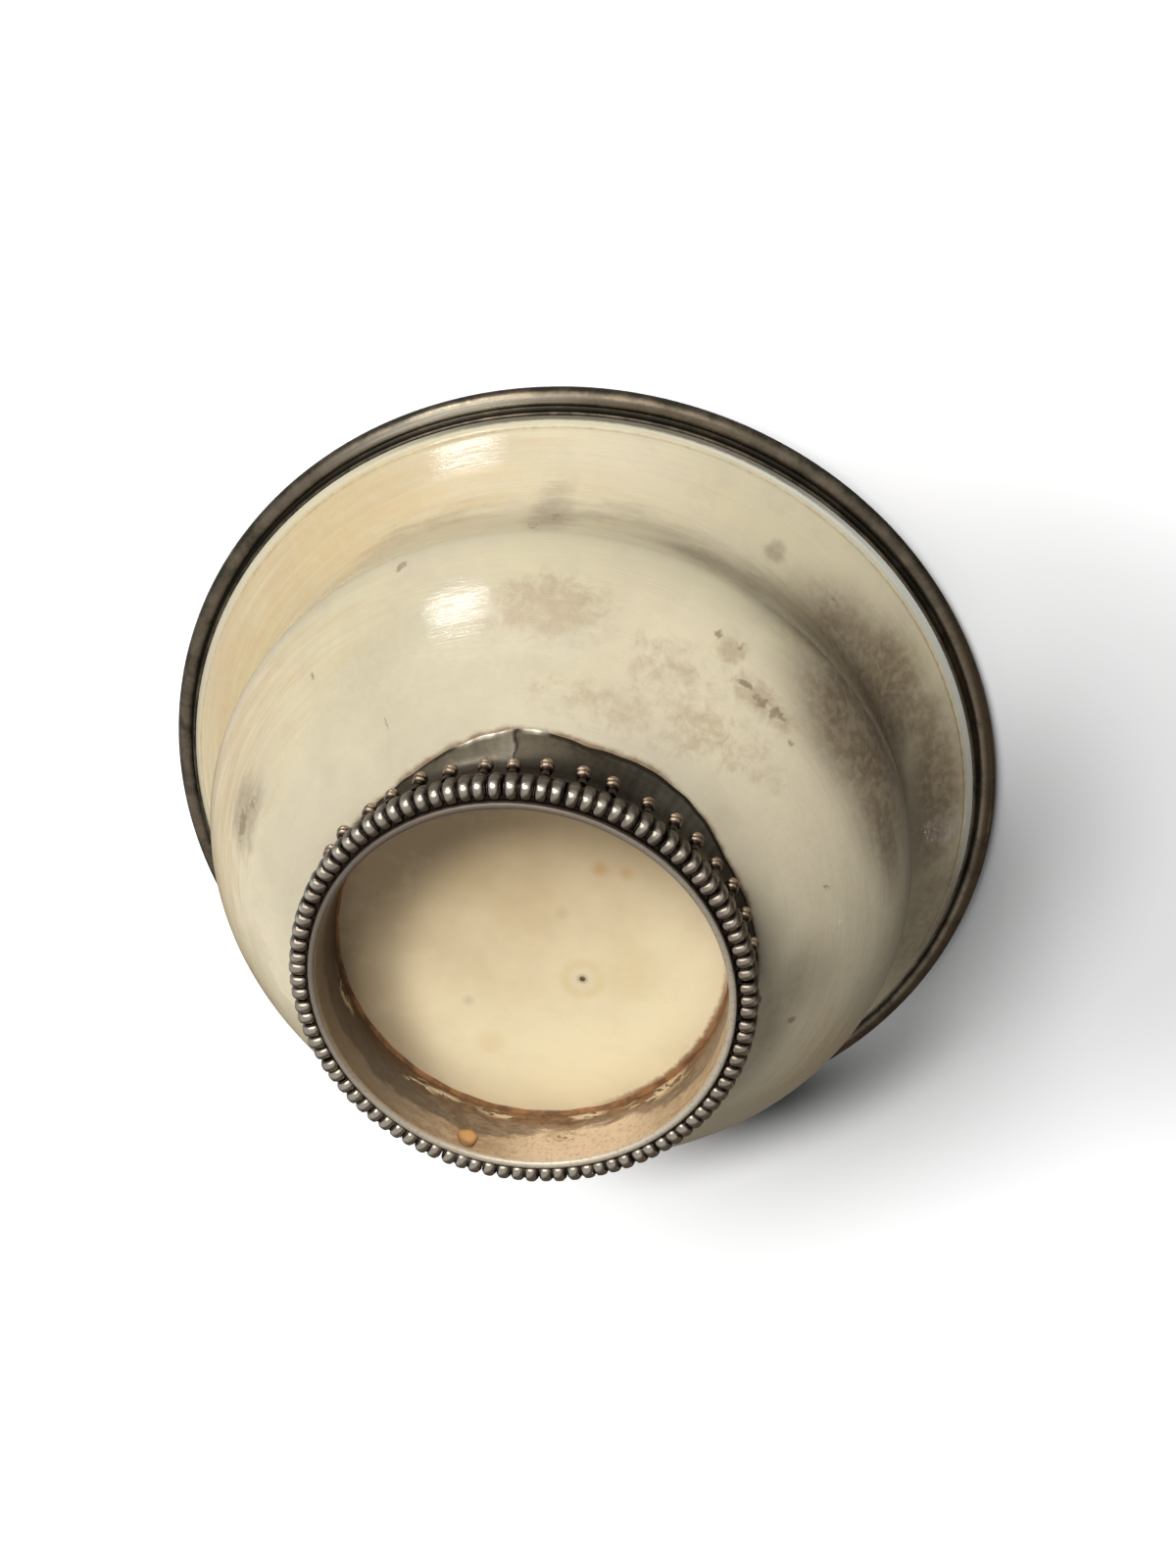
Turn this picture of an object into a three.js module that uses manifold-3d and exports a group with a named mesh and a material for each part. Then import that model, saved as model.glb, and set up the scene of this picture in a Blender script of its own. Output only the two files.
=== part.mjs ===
// Bone ritual cup: a turned bone bowl with a silver lining, a rolled rim band and a beaded silver foot.
// Lengths are in millimetres and angles in degrees. +Z is up, and the foot rests on z = 0.
import * as THREE from "three";
import { mergeVertices } from "three/addons/utils/BufferGeometryUtils.js";
import Module from "manifold-3d";

// Clearance between pieces that bear on each other
const GAP = 0.3;

// Bone bowl, from its flat underside up to its edge
const BASE_HEIGHT = 10.8; // underside above the table
const BASE_RADIUS = 27;
const BASE_SLOPE = 20; // how steeply the belly leaves the underside
const BELLY_PULLS = [0.18, 0.24]; // reach of the belly's two handles, as shares of its chord
const BELLY_RADIUS = 48.5;
const BELLY_RISE = 22.8; // from the underside to the widest part of the belly
const WAIST_INSET = 1.3; // how far the waist draws in above the belly
const WAIST_RISE = 10.3;
const FLARE_WIDTH = 8.45; // from the waist out to the turned line
const FLARE_RISE = 9.5;
const FLARE_SLOPE = 44; // how steeply the flare reaches the turned line
const UPPER_PULLS = [0.32, 0.32]; // the same for the waist and the flare
const LINE_WIDTH = 0.5;
const LINE_DEPTH = 0.25;
const BEVEL_WIDTH = 1.15; // bevelled edge above the turned line
const BEVEL_RISE = 1.55;
const BONE_WALL = 3.2;

// Silver lining
const LINING_SHEET = 0.6;
const FLANGE_OVERHANG = 0.4; // how far the lining's flange passes the bone's edge

// Rolled rim band
const RIM_OVERHANG = 3.2; // from the bone's edge to the outside of the roll
const ROLL_RADIUS = 1.3;
const ROLL_RISE = 1.4; // centre of the roll above the bone's edge
const FILLET_WIDTH = 0.65;
const FILLET_HEIGHT = 0.5;
const COVE_WALL = 0.35; // metal left behind the cove
const BAND_LIP = 0.9; // how far the band reaches in over the flange

// Foot ring
const FOOT_RADIUS = 26.3; // inside, at the table
const FOOT_TAPER = 0.4; // how much narrower the inside is at the top
const FOOT_WALL = 0.7;
const LIP_OVERHANG = 0.3; // how far the lip stands out from the wall
const LIP_THICKNESS = 0.8;
const LIP_ROUND = 0.25;

// Lac in the corner between the foot ring and the underside
const LAC_WIDTH = 0.6;
const LAC_DEPTH = 1.3;

// Beaded wire
const BEAD_COUNT = 96;
const BEAD_DEPTH = 2.7; // outwards
const BEAD_HEIGHT = 3.8;
const BEAD_FOOT_CLEARANCE = 0.1; // lowest point above the table
const NECK_DEPTH = 1.8; // between two beads
const NECK_HEIGHT = 2.7;

// Finial gallery
const FINIAL_COUNT = 44;
const RAIL_HEIGHT = 0.6;
const FINIAL_HEIGHT = 4;
const CAP_RADIUS = 0.95;
const CAP_HEIGHT = 1.7;
const CAP_GROOVE = 0.15;
const STEM_RADIUS = 0.45;

// Foot collar
const COLLAR_SHEET = 0.35;
const SPREAD_DROP = 2.2; // how far below the bowl's underside the collar begins to spread
const COLLAR_WASTE = 0.9; // sheet past the widest part of the edge, which is cut off
// How far the hand-cut edge stands out from the skirt every 15 degrees, from +X towards +Y
const COLLAR_EDGE = [
  1.55, 1.25, 1.05, 1.45, 2.15, 2.65, 2.35, 1.65, 1.25, 1.75, 2.25, 1.95,
  1.25, 0.65, 0.45, 1.05, 2.35, 3.25, 2.45, 2.65, 2.15, 1.15, 1.15, 1.45,
];

// Fineness of the meshes
const TURNS = 48; // facets round each turned piece
const ARC_STEPS = [5, 2, 3]; // belly, waist, flare
const ROLL_STEPS = 6;
const BEAD_STATIONS = 3;
const BEAD_SIDES = 6;
const FINIAL_SIDES = 5;
const COLLAR_STEPS = 4;

const library = await Module();
library.setup();

const point = (r, z) => new THREE.Vector2(r, z);
const heading = (degrees) => {
  const angle = THREE.MathUtils.degToRad(degrees);
  return point(Math.cos(angle), Math.sin(angle));
};

// Heights and radii that the pieces share
const baseEdge = point(BASE_RADIUS, BASE_HEIGHT);
const belly = point(BELLY_RADIUS, BASE_HEIGHT + BELLY_RISE);
const waist = point(belly.x - WAIST_INSET, belly.y + WAIST_RISE);
const turnedLine = point(waist.x + FLARE_WIDTH, waist.y + FLARE_RISE);
const bevelTop = point(turnedLine.x + BEVEL_WIDTH, turnedLine.y + BEVEL_RISE);
const bowlArcs = [
  arcBetween(baseEdge, heading(BASE_SLOPE), belly, heading(90), BELLY_PULLS),
  arcBetween(belly, heading(90), waist, heading(90), UPPER_PULLS),
  arcBetween(waist, heading(90), turnedLine, heading(FLARE_SLOPE), UPPER_PULLS),
];
const boneInside = wallLine(-BONE_WALL);
const boneTop = boneInside.at(-1).y;
const flangeUnderside = boneTop + GAP;
const flangeTop = flangeUnderside + LINING_SHEET;
const flangeRadius = bevelTop.x + FLANGE_OVERHANG;
const footHeight = BASE_HEIGHT - GAP;
const lipRadius = FOOT_RADIUS + FOOT_WALL + LIP_OVERHANG;
const beadTop = BEAD_FOOT_CLEARANCE + BEAD_HEIGHT;
const trimSeat = beadTop + GAP;
const collarFace = lipRadius + COLLAR_SHEET;
const collarReach = collarFace + Math.max(...COLLAR_EDGE) + COLLAR_WASTE;

// A curve that leaves one point and arrives at another in the given directions
function arcBetween(start, startHeading, end, endHeading, pulls) {
  const chord = start.distanceTo(end);
  return new THREE.CubicBezierCurve(
    start,
    start.clone().addScaledVector(startHeading, pulls[0] * chord),
    end.clone().addScaledVector(endHeading, -pulls[1] * chord),
    end,
  );
}

// The point of a curve at t, moved out of the bowl by a distance, or into it by a negative one
function besideCurve(curve, t, distance) {
  const tangent = curve.getTangent(t);
  const outwards = point(tangent.y, -tangent.x);
  return curve.getPoint(t).addScaledVector(outwards, distance);
}

// The t at which a line beside a widening curve reaches a radius, found by halving the interval
function whereRadius(curve, distance, radius) {
  let low = 0;
  let high = 1;
  for (let halving = 0; halving < 20; halving++) {
    const t = (low + high) / 2;
    if (besideCurve(curve, t, distance).x < radius) low = t;
    else high = t;
  }
  return low;
}

// The bowl's whole curve, moved sideways by a distance
function wallLine(distance) {
  const points = [besideCurve(bowlArcs[0], 0, distance)];
  bowlArcs.forEach((curve, arc) => {
    for (let step = 1; step <= ARC_STEPS[arc]; step++) {
      points.push(besideCurve(curve, step / ARC_STEPS[arc], distance));
    }
  });
  return points;
}

// A geometry with shared vertices and without faces that have shrunk to a line
function tidy(geometry) {
  const bare = new THREE.BufferGeometry();
  bare.setAttribute("position", geometry.getAttribute("position"));
  bare.setIndex(geometry.getIndex());
  const merged = mergeVertices(bare, 1e-4);
  const corners = merged.getIndex().array;
  const kept = [];
  for (let i = 0; i < corners.length; i += 3) {
    const [a, b, c] = corners.slice(i, i + 3);
    if (a !== b && b !== c && c !== a) kept.push(a, b, c);
  }
  merged.setIndex(kept);
  return merged;
}

// A turned piece: the profile runs up the outside, and ends on the axis or where it began
function turned(profile, sides = TURNS) {
  const geometry = new THREE.LatheGeometry(profile, sides);
  return tidy(geometry.rotateX(Math.PI / 2));
}

function closed(profile) {
  return [...profile, profile[0].clone()];
}

function toSolid(geometry) {
  const mesh = tidy(geometry);
  const { Manifold, Mesh } = library;
  return new Manifold(
    new Mesh({
      numProp: 3,
      vertProperties: mesh.getAttribute("position").array,
      triVerts: new Uint32Array(mesh.getIndex().array),
    }),
  );
}

function toGeometry(solid) {
  const mesh = solid.getMesh();
  const geometry = new THREE.BufferGeometry();
  geometry.setAttribute("position", new THREE.BufferAttribute(mesh.vertProperties, 3));
  geometry.setIndex(new THREE.BufferAttribute(mesh.triVerts, 1));
  return geometry;
}

// Bone bowl: flat underside, belly, waist, flare, turned line and bevel, then the hollow
function boneBowl() {
  const along = heading(FLARE_SLOPE);
  const lineStart = turnedLine.clone().addScaledVector(along, -LINE_WIDTH / 2);
  const lineBottom = besideCurve(bowlArcs[2], 1, -LINE_DEPTH);
  const lineEnd = turnedLine.clone().addScaledVector(along, LINE_WIDTH / 2);
  return turned([
    point(0, BASE_HEIGHT),
    ...wallLine(0).slice(0, -1),
    lineStart,
    lineBottom,
    lineEnd,
    bevelTop,
    point(bevelTop.x, boneTop),
    ...boneInside.toReversed(),
    point(0, boneInside[0].y),
  ]);
}

// Silver lining: one sheet that follows the hollow and turns out over the bone's top
function silverLining() {
  const outside = wallLine(-BONE_WALL - GAP);
  const inside = wallLine(-BONE_WALL - GAP - LINING_SHEET);
  const bend = outside.at(-1).x;
  const brim = inside.at(-1).x;
  return turned([
    point(0, outside[0].y),
    ...outside.slice(0, -1),
    point(bend, flangeUnderside),
    point(flangeRadius, flangeUnderside),
    point(flangeRadius, flangeTop),
    point(brim, flangeTop),
    ...inside.slice(0, -1).toReversed(),
    point(0, inside[0].y),
  ]);
}

// Rim band: a fillet beside the bone, a cove, a round roll, and a rebate that grips the flange
function rimBand() {
  const back = bevelTop.x + GAP;
  const rebate = flangeRadius + GAP;
  const bottom = bevelTop.y + GAP / 2;
  const filletTop = bottom + FILLET_HEIGHT;
  const centre = point(bevelTop.x + RIM_OVERHANG - ROLL_RADIUS, boneTop + ROLL_RISE);
  const roll = [];
  for (let step = 0; step <= ROLL_STEPS; step++) {
    const around = heading(-130 + (260 * step) / ROLL_STEPS);
    roll.push(centre.clone().addScaledVector(around, ROLL_RADIUS));
  }
  return turned(
    closed([
      point(back, bottom),
      point(back + FILLET_WIDTH, bottom),
      point(back + FILLET_WIDTH, filletTop),
      point(back + COVE_WALL, filletTop + COVE_WALL),
      ...roll,
      point(flangeRadius - BAND_LIP, flangeTop + GAP + COVE_WALL),
      point(flangeRadius - BAND_LIP, flangeTop + GAP),
      point(rebate, flangeTop + GAP),
      point(rebate, boneTop),
      point(back, boneTop),
    ]),
  );
}

// Foot ring: a tapered tube with a flat lip that stands a little proud outside
function footRing() {
  const top = point(FOOT_RADIUS - FOOT_TAPER, footHeight);
  return turned(
    closed([
      point(FOOT_RADIUS, LIP_ROUND),
      point(FOOT_RADIUS + LIP_ROUND, 0),
      point(lipRadius - LIP_ROUND, 0),
      point(lipRadius, LIP_ROUND),
      point(lipRadius, LIP_THICKNESS),
      point(FOOT_RADIUS + FOOT_WALL, LIP_THICKNESS + LIP_OVERHANG),
      point(top.x + FOOT_WALL, top.y),
      top,
    ]),
  );
}

// Lac: a three-sided ring that fills the corner inside the foot
function footLac() {
  const outer = FOOT_RADIUS - FOOT_TAPER - GAP;
  return turned(
    closed([
      point(outer - LAC_WIDTH, footHeight),
      point(outer, footHeight - LAC_DEPTH),
      point(outer, footHeight),
    ]),
  );
}

// A barrel's six-sided section, flat above and below, whose inner corner stays on the same radius
function beadSection(depth, height) {
  const middle = BEAD_FOOT_CLEARANCE + BEAD_HEIGHT / 2;
  const tallest = heading(360 / BEAD_SIDES).y;
  const section = [];
  for (let side = 0; side < BEAD_SIDES; side++) {
    const around = heading((360 * side) / BEAD_SIDES);
    const r = lipRadius + (depth / 2) * (1 + around.x);
    section.push(point(r, middle + ((height / 2) * around.y) / tallest));
  }
  return section;
}

// Beaded wire: a ring whose section swells at each bead and draws in between two beads
function beadedWire() {
  const stations = BEAD_COUNT * BEAD_STATIONS;
  const bead = beadSection(BEAD_DEPTH, BEAD_HEIGHT);
  const neck = beadSection(NECK_DEPTH, NECK_HEIGHT);
  const positions = [];
  const corners = [];
  for (let station = 0; station < stations; station++) {
    const around = heading((360 * station) / stations);
    const section = station % BEAD_STATIONS ? bead : neck;
    section.forEach((p) => positions.push(p.x * around.x, p.x * around.y, p.y));
    for (let side = 0; side < BEAD_SIDES; side++) {
      const next = (station + 1) % stations;
      const a = station * BEAD_SIDES + side;
      const b = next * BEAD_SIDES + side;
      const c = next * BEAD_SIDES + ((side + 1) % BEAD_SIDES);
      const d = station * BEAD_SIDES + ((side + 1) % BEAD_SIDES);
      corners.push(a, b, c, a, c, d);
    }
  }
  const geometry = new THREE.BufferGeometry();
  geometry.setAttribute("position", new THREE.Float32BufferAttribute(positions, 3));
  geometry.setIndex(corners);
  return geometry;
}

// Finial gallery: a rail on top of the beads that carries the knobs in front of the collar
function finialGallery() {
  const railInside = collarFace + GAP;
  const centre = railInside + CAP_RADIUS;
  const top = trimSeat + FINIAL_HEIGHT;
  const capUnderside = top - CAP_HEIGHT;
  const middle = top - CAP_HEIGHT / 2;
  const knob = turned(
    [
      point(0, trimSeat),
      point(STEM_RADIUS, trimSeat),
      point(STEM_RADIUS, capUnderside),
      point(CAP_RADIUS, capUnderside + CAP_GROOVE),
      point(CAP_RADIUS - CAP_GROOVE, middle),
      point(CAP_RADIUS, middle + CAP_GROOVE),
      point(0, top),
    ],
    FINIAL_SIDES,
  );
  const rail = turned(
    closed([
      point(railInside, trimSeat),
      point(centre, trimSeat),
      point(centre, trimSeat + RAIL_HEIGHT),
      point(railInside, trimSeat + RAIL_HEIGHT),
    ]),
  );
  const pieces = [toSolid(rail)];
  for (let i = 0; i < FINIAL_COUNT; i++) {
    const around = heading((360 * i) / FINIAL_COUNT);
    pieces.push(toSolid(knob.clone().translate(centre * around.x, centre * around.y, 0)));
  }
  return toGeometry(library.Manifold.union(pieces));
}

// Foot collar: a skirt round the foot ring that spreads against the bone and is cut to a wavy edge
function footCollar() {
  const middle = lipRadius + COLLAR_SHEET / 2;
  const clearOfBone = GAP + COLLAR_SHEET / 2;
  const reach = whereRadius(bowlArcs[0], clearOfBone, collarReach);
  const spreadEnd = besideCurve(bowlArcs[0], reach, clearOfBone);
  const spreadStart = BASE_HEIGHT - SPREAD_DROP;
  const spread = new THREE.CubicBezierCurve(
    point(middle, spreadStart),
    point(middle, (spreadStart + footHeight) / 2),
    spreadEnd.clone().addScaledVector(bowlArcs[0].getTangent(reach), -(spreadEnd.x - middle) / 2),
    spreadEnd,
  );
  const below = [point(middle + COLLAR_SHEET / 2, trimSeat)];
  const above = [point(middle - COLLAR_SHEET / 2, trimSeat)];
  for (let step = 0; step <= COLLAR_STEPS; step++) {
    below.push(besideCurve(spread, step / COLLAR_STEPS, COLLAR_SHEET / 2));
    above.push(besideCurve(spread, step / COLLAR_STEPS, -COLLAR_SHEET / 2));
  }
  const sheet = turned(closed([...below, ...above.toReversed()]));
  const edge = COLLAR_EDGE.map((width, i) => {
    const around = heading((360 * i) / COLLAR_EDGE.length);
    return new THREE.Vector3(around.x, around.y, 0).multiplyScalar(collarFace + width);
  });
  const outline = new THREE.CatmullRomCurve3(edge, true).getPoints(TURNS);
  const cutter = new THREE.ExtrudeGeometry(
    new THREE.Shape(outline.slice(0, -1).map((p) => point(p.x, p.y))),
    { depth: BASE_HEIGHT + BELLY_RISE, bevelEnabled: false },
  );
  return toGeometry(toSolid(sheet).intersect(toSolid(cutter)));
}

const bone = new THREE.MeshStandardMaterial({ color: 0xe4dcc0, roughness: 0.3 });
const silver = new THREE.MeshStandardMaterial({ color: 0x9a938a, roughness: 0.35, metalness: 1 });
const darkSilver = new THREE.MeshStandardMaterial({ color: 0x6b645c, roughness: 0.4, metalness: 1 });
const gilt = new THREE.MeshStandardMaterial({ color: 0xa98e6f, roughness: 0.45, metalness: 1 });
const lac = new THREE.MeshStandardMaterial({ color: 0x7a4318, roughness: 0.4 });

function piece(name, geometry, material) {
  const mesh = new THREE.Mesh(geometry, material);
  mesh.name = name;
  return mesh;
}

const cup = new THREE.Group();
cup.add(
  piece("bone_bowl", boneBowl(), bone),
  piece("silver_lining", silverLining(), silver),
  piece("rim_band", rimBand(), darkSilver),
  piece("foot_ring", footRing(), gilt),
  piece("foot_lac", footLac(), lac),
  piece("beaded_wire", beadedWire(), darkSilver),
  piece("finial_gallery", finialGallery(), darkSilver),
  piece("foot_collar", footCollar(), darkSilver),
);

export default cup;
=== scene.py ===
# A turned bone cup with tarnished silver mounts, seen from below its foot in soft studio light.
# Shapes are worked out in millimetres and made in metres. +Z runs from the foot to the mouth.
import math

import bpy
import numpy as np
from mathutils import Matrix, Vector


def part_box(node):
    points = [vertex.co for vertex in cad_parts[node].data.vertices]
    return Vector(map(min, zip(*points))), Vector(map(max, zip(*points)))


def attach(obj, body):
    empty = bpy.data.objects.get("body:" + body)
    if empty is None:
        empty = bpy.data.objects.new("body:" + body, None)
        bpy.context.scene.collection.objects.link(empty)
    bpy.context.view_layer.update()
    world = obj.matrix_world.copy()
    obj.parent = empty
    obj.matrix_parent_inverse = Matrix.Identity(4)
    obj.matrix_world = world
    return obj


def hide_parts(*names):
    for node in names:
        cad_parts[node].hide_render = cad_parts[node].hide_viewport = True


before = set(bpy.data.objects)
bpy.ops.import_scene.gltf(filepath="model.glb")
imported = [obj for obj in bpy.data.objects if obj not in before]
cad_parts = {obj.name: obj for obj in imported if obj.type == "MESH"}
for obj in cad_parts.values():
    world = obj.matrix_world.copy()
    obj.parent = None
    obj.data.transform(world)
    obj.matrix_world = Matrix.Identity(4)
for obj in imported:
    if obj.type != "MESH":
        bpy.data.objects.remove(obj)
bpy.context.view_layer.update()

MM = 0.001

# Bone bowl
BASE_RADIUS = 27
BASE_SLOPE = 20
BELLY_PULLS = (0.18, 0.24)
BELLY_RADIUS = 48.5
BELLY_RISE = 22.8
WAIST_INSET = 1.3
WAIST_RISE = 10.3
FLARE_WIDTH = 8.45
FLARE_RISE = 9.5
FLARE_SLOPE = 44
UPPER_PULLS = (0.32, 0.32)
BEVEL_WIDTH = 1.15
BEVEL_RISE = 1.55
BONE_WALL = 3.2
LINE_HALF_WIDTH = 0.3
LINE_DEPTH = 0.1

# Silver
GAP = 0.3
LINING_SHEET = 0.6
ROLL_RADIUS = 1.3
ROLL_WIDTH = 1.5
ROLL_RISE = 1.4
FILLET_WIDTH = 0.65
FOOT_TAPER = 0.4
FOOT_WALL = 0.7
BEAD_COUNT = 96
BEAD_DEPTH = 2.7
FINIAL_COUNT = 44
CAP_RADIUS = 0.95
COLLAR_SHEET = 0.35
SPREAD_DROP = 2.2
SEAM_AZIMUTH = -107.5

# Unevenness of the hand-made pieces in mm
BONE_LUMPS = 0.05
BELLY_SHIFT = (-0.2, -0.1)
LINING_DENTS = 0.09
RIM_DENTS = 0.05
FOOT_DENTS = 0.045
LIP_WEAR = 0.05
COLLAR_DENTS = 0.11
COLLAR_LAP = 0.2
# How far the hand-cut edge stands out from the skirt every 15 degrees, from +X towards +Y
COLLAR_EDGE = [
    1.55, 1.25, 1.05, 1.45, 2.15, 2.65, 2.35, 1.65, 1.25, 1.75, 2.25, 1.95,
    1.25, 0.65, 0.45, 1.05, 2.35, 3.25, 2.45, 2.65, 2.15, 1.15, 1.15, 1.45,
]

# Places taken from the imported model
base_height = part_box("bone_bowl")[0].z / MM
bevel_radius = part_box("bone_bowl")[1].x / MM
bone_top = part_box("bone_bowl")[1].z / MM
foot_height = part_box("foot_ring")[1].z / MM
lip_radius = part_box("foot_ring")[1].x / MM
flange_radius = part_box("silver_lining")[1].x / MM
flange_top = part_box("silver_lining")[1].z / MM
rim_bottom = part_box("rim_band")[0].z / MM
rim_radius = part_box("rim_band")[1].x / MM
bead_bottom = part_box("beaded_wire")[0].z / MM
bead_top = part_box("beaded_wire")[1].z / MM
finial_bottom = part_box("finial_gallery")[0].z / MM
finial_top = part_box("finial_gallery")[1].z / MM
foot_radius = lip_radius - FOOT_WALL - GAP
collar_face = lip_radius + COLLAR_SHEET

# Camera, as fitted to the circles of the photographed cup
CAMERA_PLACE = (0, -173.13, -252.35)
CAMERA_AIM = (1.24, -14.94, 30)
CAMERA_ROLL = 15.14
CAMERA_LENS = 55.73
SENSOR_HEIGHT = 36

# Light: directions from the cup to the window and the drape, lengths in metres, tones and strengths
WINDOW = (-0.43, -0.65, -0.62)
WINDOW_TONE = (1.0, 0.95, 0.86)
WINDOW_BRIGHTNESS = 2.4
DRAPE = (0.62, 0.5, 0.3)
CLOTH_TONE = (0.15, 0.125, 0.1)
ROOM_RADIUS = 1.4
LAMP_AIM = 0.03
WHITE = (1, 1, 1)
SOFT_LIGHT = 0.05
PAPER_TONE = (0.98, 0.98, 0.98)
RIM_FLOOR_GLOW = 0.57
FOOT_FLOOR_GLOW = 0.45
FLOOR_HALF = 0.6
FLOOR_FADES_FROM = 0.25

# Sides of a turned piece, and the radius in mm at which a turned grain has its true length
SIDES = 360
TURNED_AT = 30.0


def heading(degrees):
    angle = math.radians(degrees)
    return np.array([math.cos(angle), math.sin(angle)])


def cubic(start, start_degrees, end, end_degrees, steps, pulls=UPPER_PULLS):
    """Points and unit slopes of an arc that leaves and arrives in the given directions."""
    chord = math.dist(start, end)
    a, d = np.array(start, float), np.array(end, float)
    b = a + pulls[0] * chord * heading(start_degrees)
    c = d - pulls[1] * chord * heading(end_degrees)
    t = np.linspace(0, 1, steps + 1)[:, None]
    points = (1 - t) ** 3 * a + 3 * (1 - t) ** 2 * t * b + 3 * (1 - t) * t**2 * c + t**3 * d
    slopes = (1 - t) ** 2 * (b - a) + 2 * (1 - t) * t * (c - b) + t**2 * (d - c)
    return points, slopes / np.hypot(slopes[:, 0], slopes[:, 1])[:, None]


def bowl_curve(steps):
    """The bowl's outside from the underside's edge to the turned line, with its slopes."""
    edge = (BASE_RADIUS, base_height)
    belly = (BELLY_RADIUS, base_height + BELLY_RISE)
    waist = (belly[0] - WAIST_INSET, belly[1] + WAIST_RISE)
    line = (waist[0] + FLARE_WIDTH, waist[1] + FLARE_RISE)
    arcs = [
        cubic(edge, BASE_SLOPE, belly, 90, steps, BELLY_PULLS),
        cubic(belly, 90, waist, 90, steps // 2),
        cubic(waist, 90, line, FLARE_SLOPE, steps // 2),
    ]
    points = np.vstack([arcs[0][0], arcs[1][0][1:], arcs[2][0][1:]])
    slopes = np.vstack([arcs[0][1], arcs[1][1][1:], arcs[2][1][1:]])
    return points, slopes


def fine_curve():
    """The bowl's outside with close steps near the collar, where narrow marks are painted on it."""
    points, slopes = bowl_curve(400)
    near_collar = points[:, 0] < collar_face + max(COLLAR_EDGE) + 1.0
    kept = np.where(near_collar, np.arange(len(points)) % 2 == 0, np.arange(len(points)) % 8 == 0)
    kept[[0, -1]] = True
    return points[kept], slopes[kept]


def beside(points, slopes, distance):
    """A curve moved out of the bowl by a distance, or into it by a negative one."""
    return points + distance * np.stack([slopes[:, 1], -slopes[:, 0]], 1)


def round_corner(centre, radius, first, last, steps):
    """Points on a circle in the (r, z) plane between two angles in degrees."""
    return [np.array(centre) + radius * heading(a) for a in np.linspace(first, last, steps)]


def hand_made(angles, along, size, seed):
    """Gentle unevenness of a hand-made surface: a few smooth waves, about 1 at most."""
    draw = np.random.default_rng(seed)
    total = np.zeros(np.broadcast(angles, along).shape)
    for turns in (2, 3, 5, 7, 11, 17, 23):
        wave, shift, tilt = draw.uniform(0, 2 * math.pi, 3)
        weight = draw.uniform(0.5, 1) / turns**0.5
        rise = np.cos(along / size + shift + tilt * angles.mean())
        total += weight * np.sin(turns * angles + wave) * rise
    return total / 1.6


def push_out(grid, angles, amount):
    """Moves the points of a turned grid away from the axis."""
    grid[..., 0] += amount * np.cos(angles)
    grid[..., 1] += amount * np.sin(angles)


def wrapped(turn):
    """Angles brought between minus and plus half a turn."""
    return (turn + math.pi) % (2 * math.pi) - math.pi


def azimuths_of(angles):
    """Azimuths in degrees from -180 to 180."""
    return (np.degrees(angles) + 180) % 360 - 180


def placed(name, data):
    """A new object in the scene."""
    obj = bpy.data.objects.new(name, data)
    bpy.context.scene.collection.objects.link(obj)
    return obj


def full_turn(sides):
    return np.linspace(0, 2 * math.pi, sides, endpoint=False)


def new_object(name, points, faces, smooth_below=40):
    """A mesh object from points in millimetres, smooth except at edges sharper than an angle."""
    mesh = bpy.data.meshes.new(name)
    mesh.from_pydata((np.asarray(points) * MM).tolist(), [], faces)
    mesh.shade_smooth()
    mesh.set_sharp_from_angle(angle=math.radians(smooth_below))
    return placed(name, mesh)


def skin_faces(rings, sides, closed):
    """Quads of a grid of rings that goes round, and also closes on itself across the rings."""
    faces = []
    for i in range(rings if closed else rings - 1):
        low, high = i * sides, ((i + 1) % rings) * sides
        for j in range(sides):
            k = (j + 1) % sides
            faces.append((low + j, low + k, high + k, high + j))
    return faces


def polar_grid(profile, sides=SIDES):
    """Angles and a grid of points, ring by ring, for (r, z) points turned round the axis."""
    angles = full_turn(sides)[None, :]
    r, z = np.asarray(profile, float).T[:, :, None]
    return angles, np.stack([r * np.cos(angles), r * np.sin(angles), z + 0 * angles], -1)


def solid_of_rings(name, grid, poles=None, smooth_below=40):
    """A closed surface through a grid of rings, with a point at either end or closed across."""
    rings, sides = grid.shape[:2]
    points = grid.reshape(-1, 3)
    faces = skin_faces(rings, sides, closed=poles is None)
    if poles is not None:
        first, last = len(points), len(points) + 1
        top = (rings - 1) * sides
        points = np.vstack([points, poles])
        for j in range(sides):
            k = (j + 1) % sides
            faces.append((first, k, j))
            faces.append((last, top + j, top + k))
    return new_object(name, points, faces, smooth_below)


def paint(obj, name, values):
    """Stores one number for each point, for the material to read."""
    layer = obj.data.attributes.new(name, "FLOAT", "POINT")
    full = np.zeros(len(obj.data.vertices), np.float32)
    values = np.asarray(values, np.float32).reshape(-1)
    full[: len(values)] = values
    layer.data.foreach_set("value", full)


def dress(obj, material, slot, *nodes):
    """Gives a finished piece its material and its place in the assembly."""
    obj.data.materials.clear()
    obj.data.materials.append(material)
    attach(obj, "root")
    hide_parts(*nodes)


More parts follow.
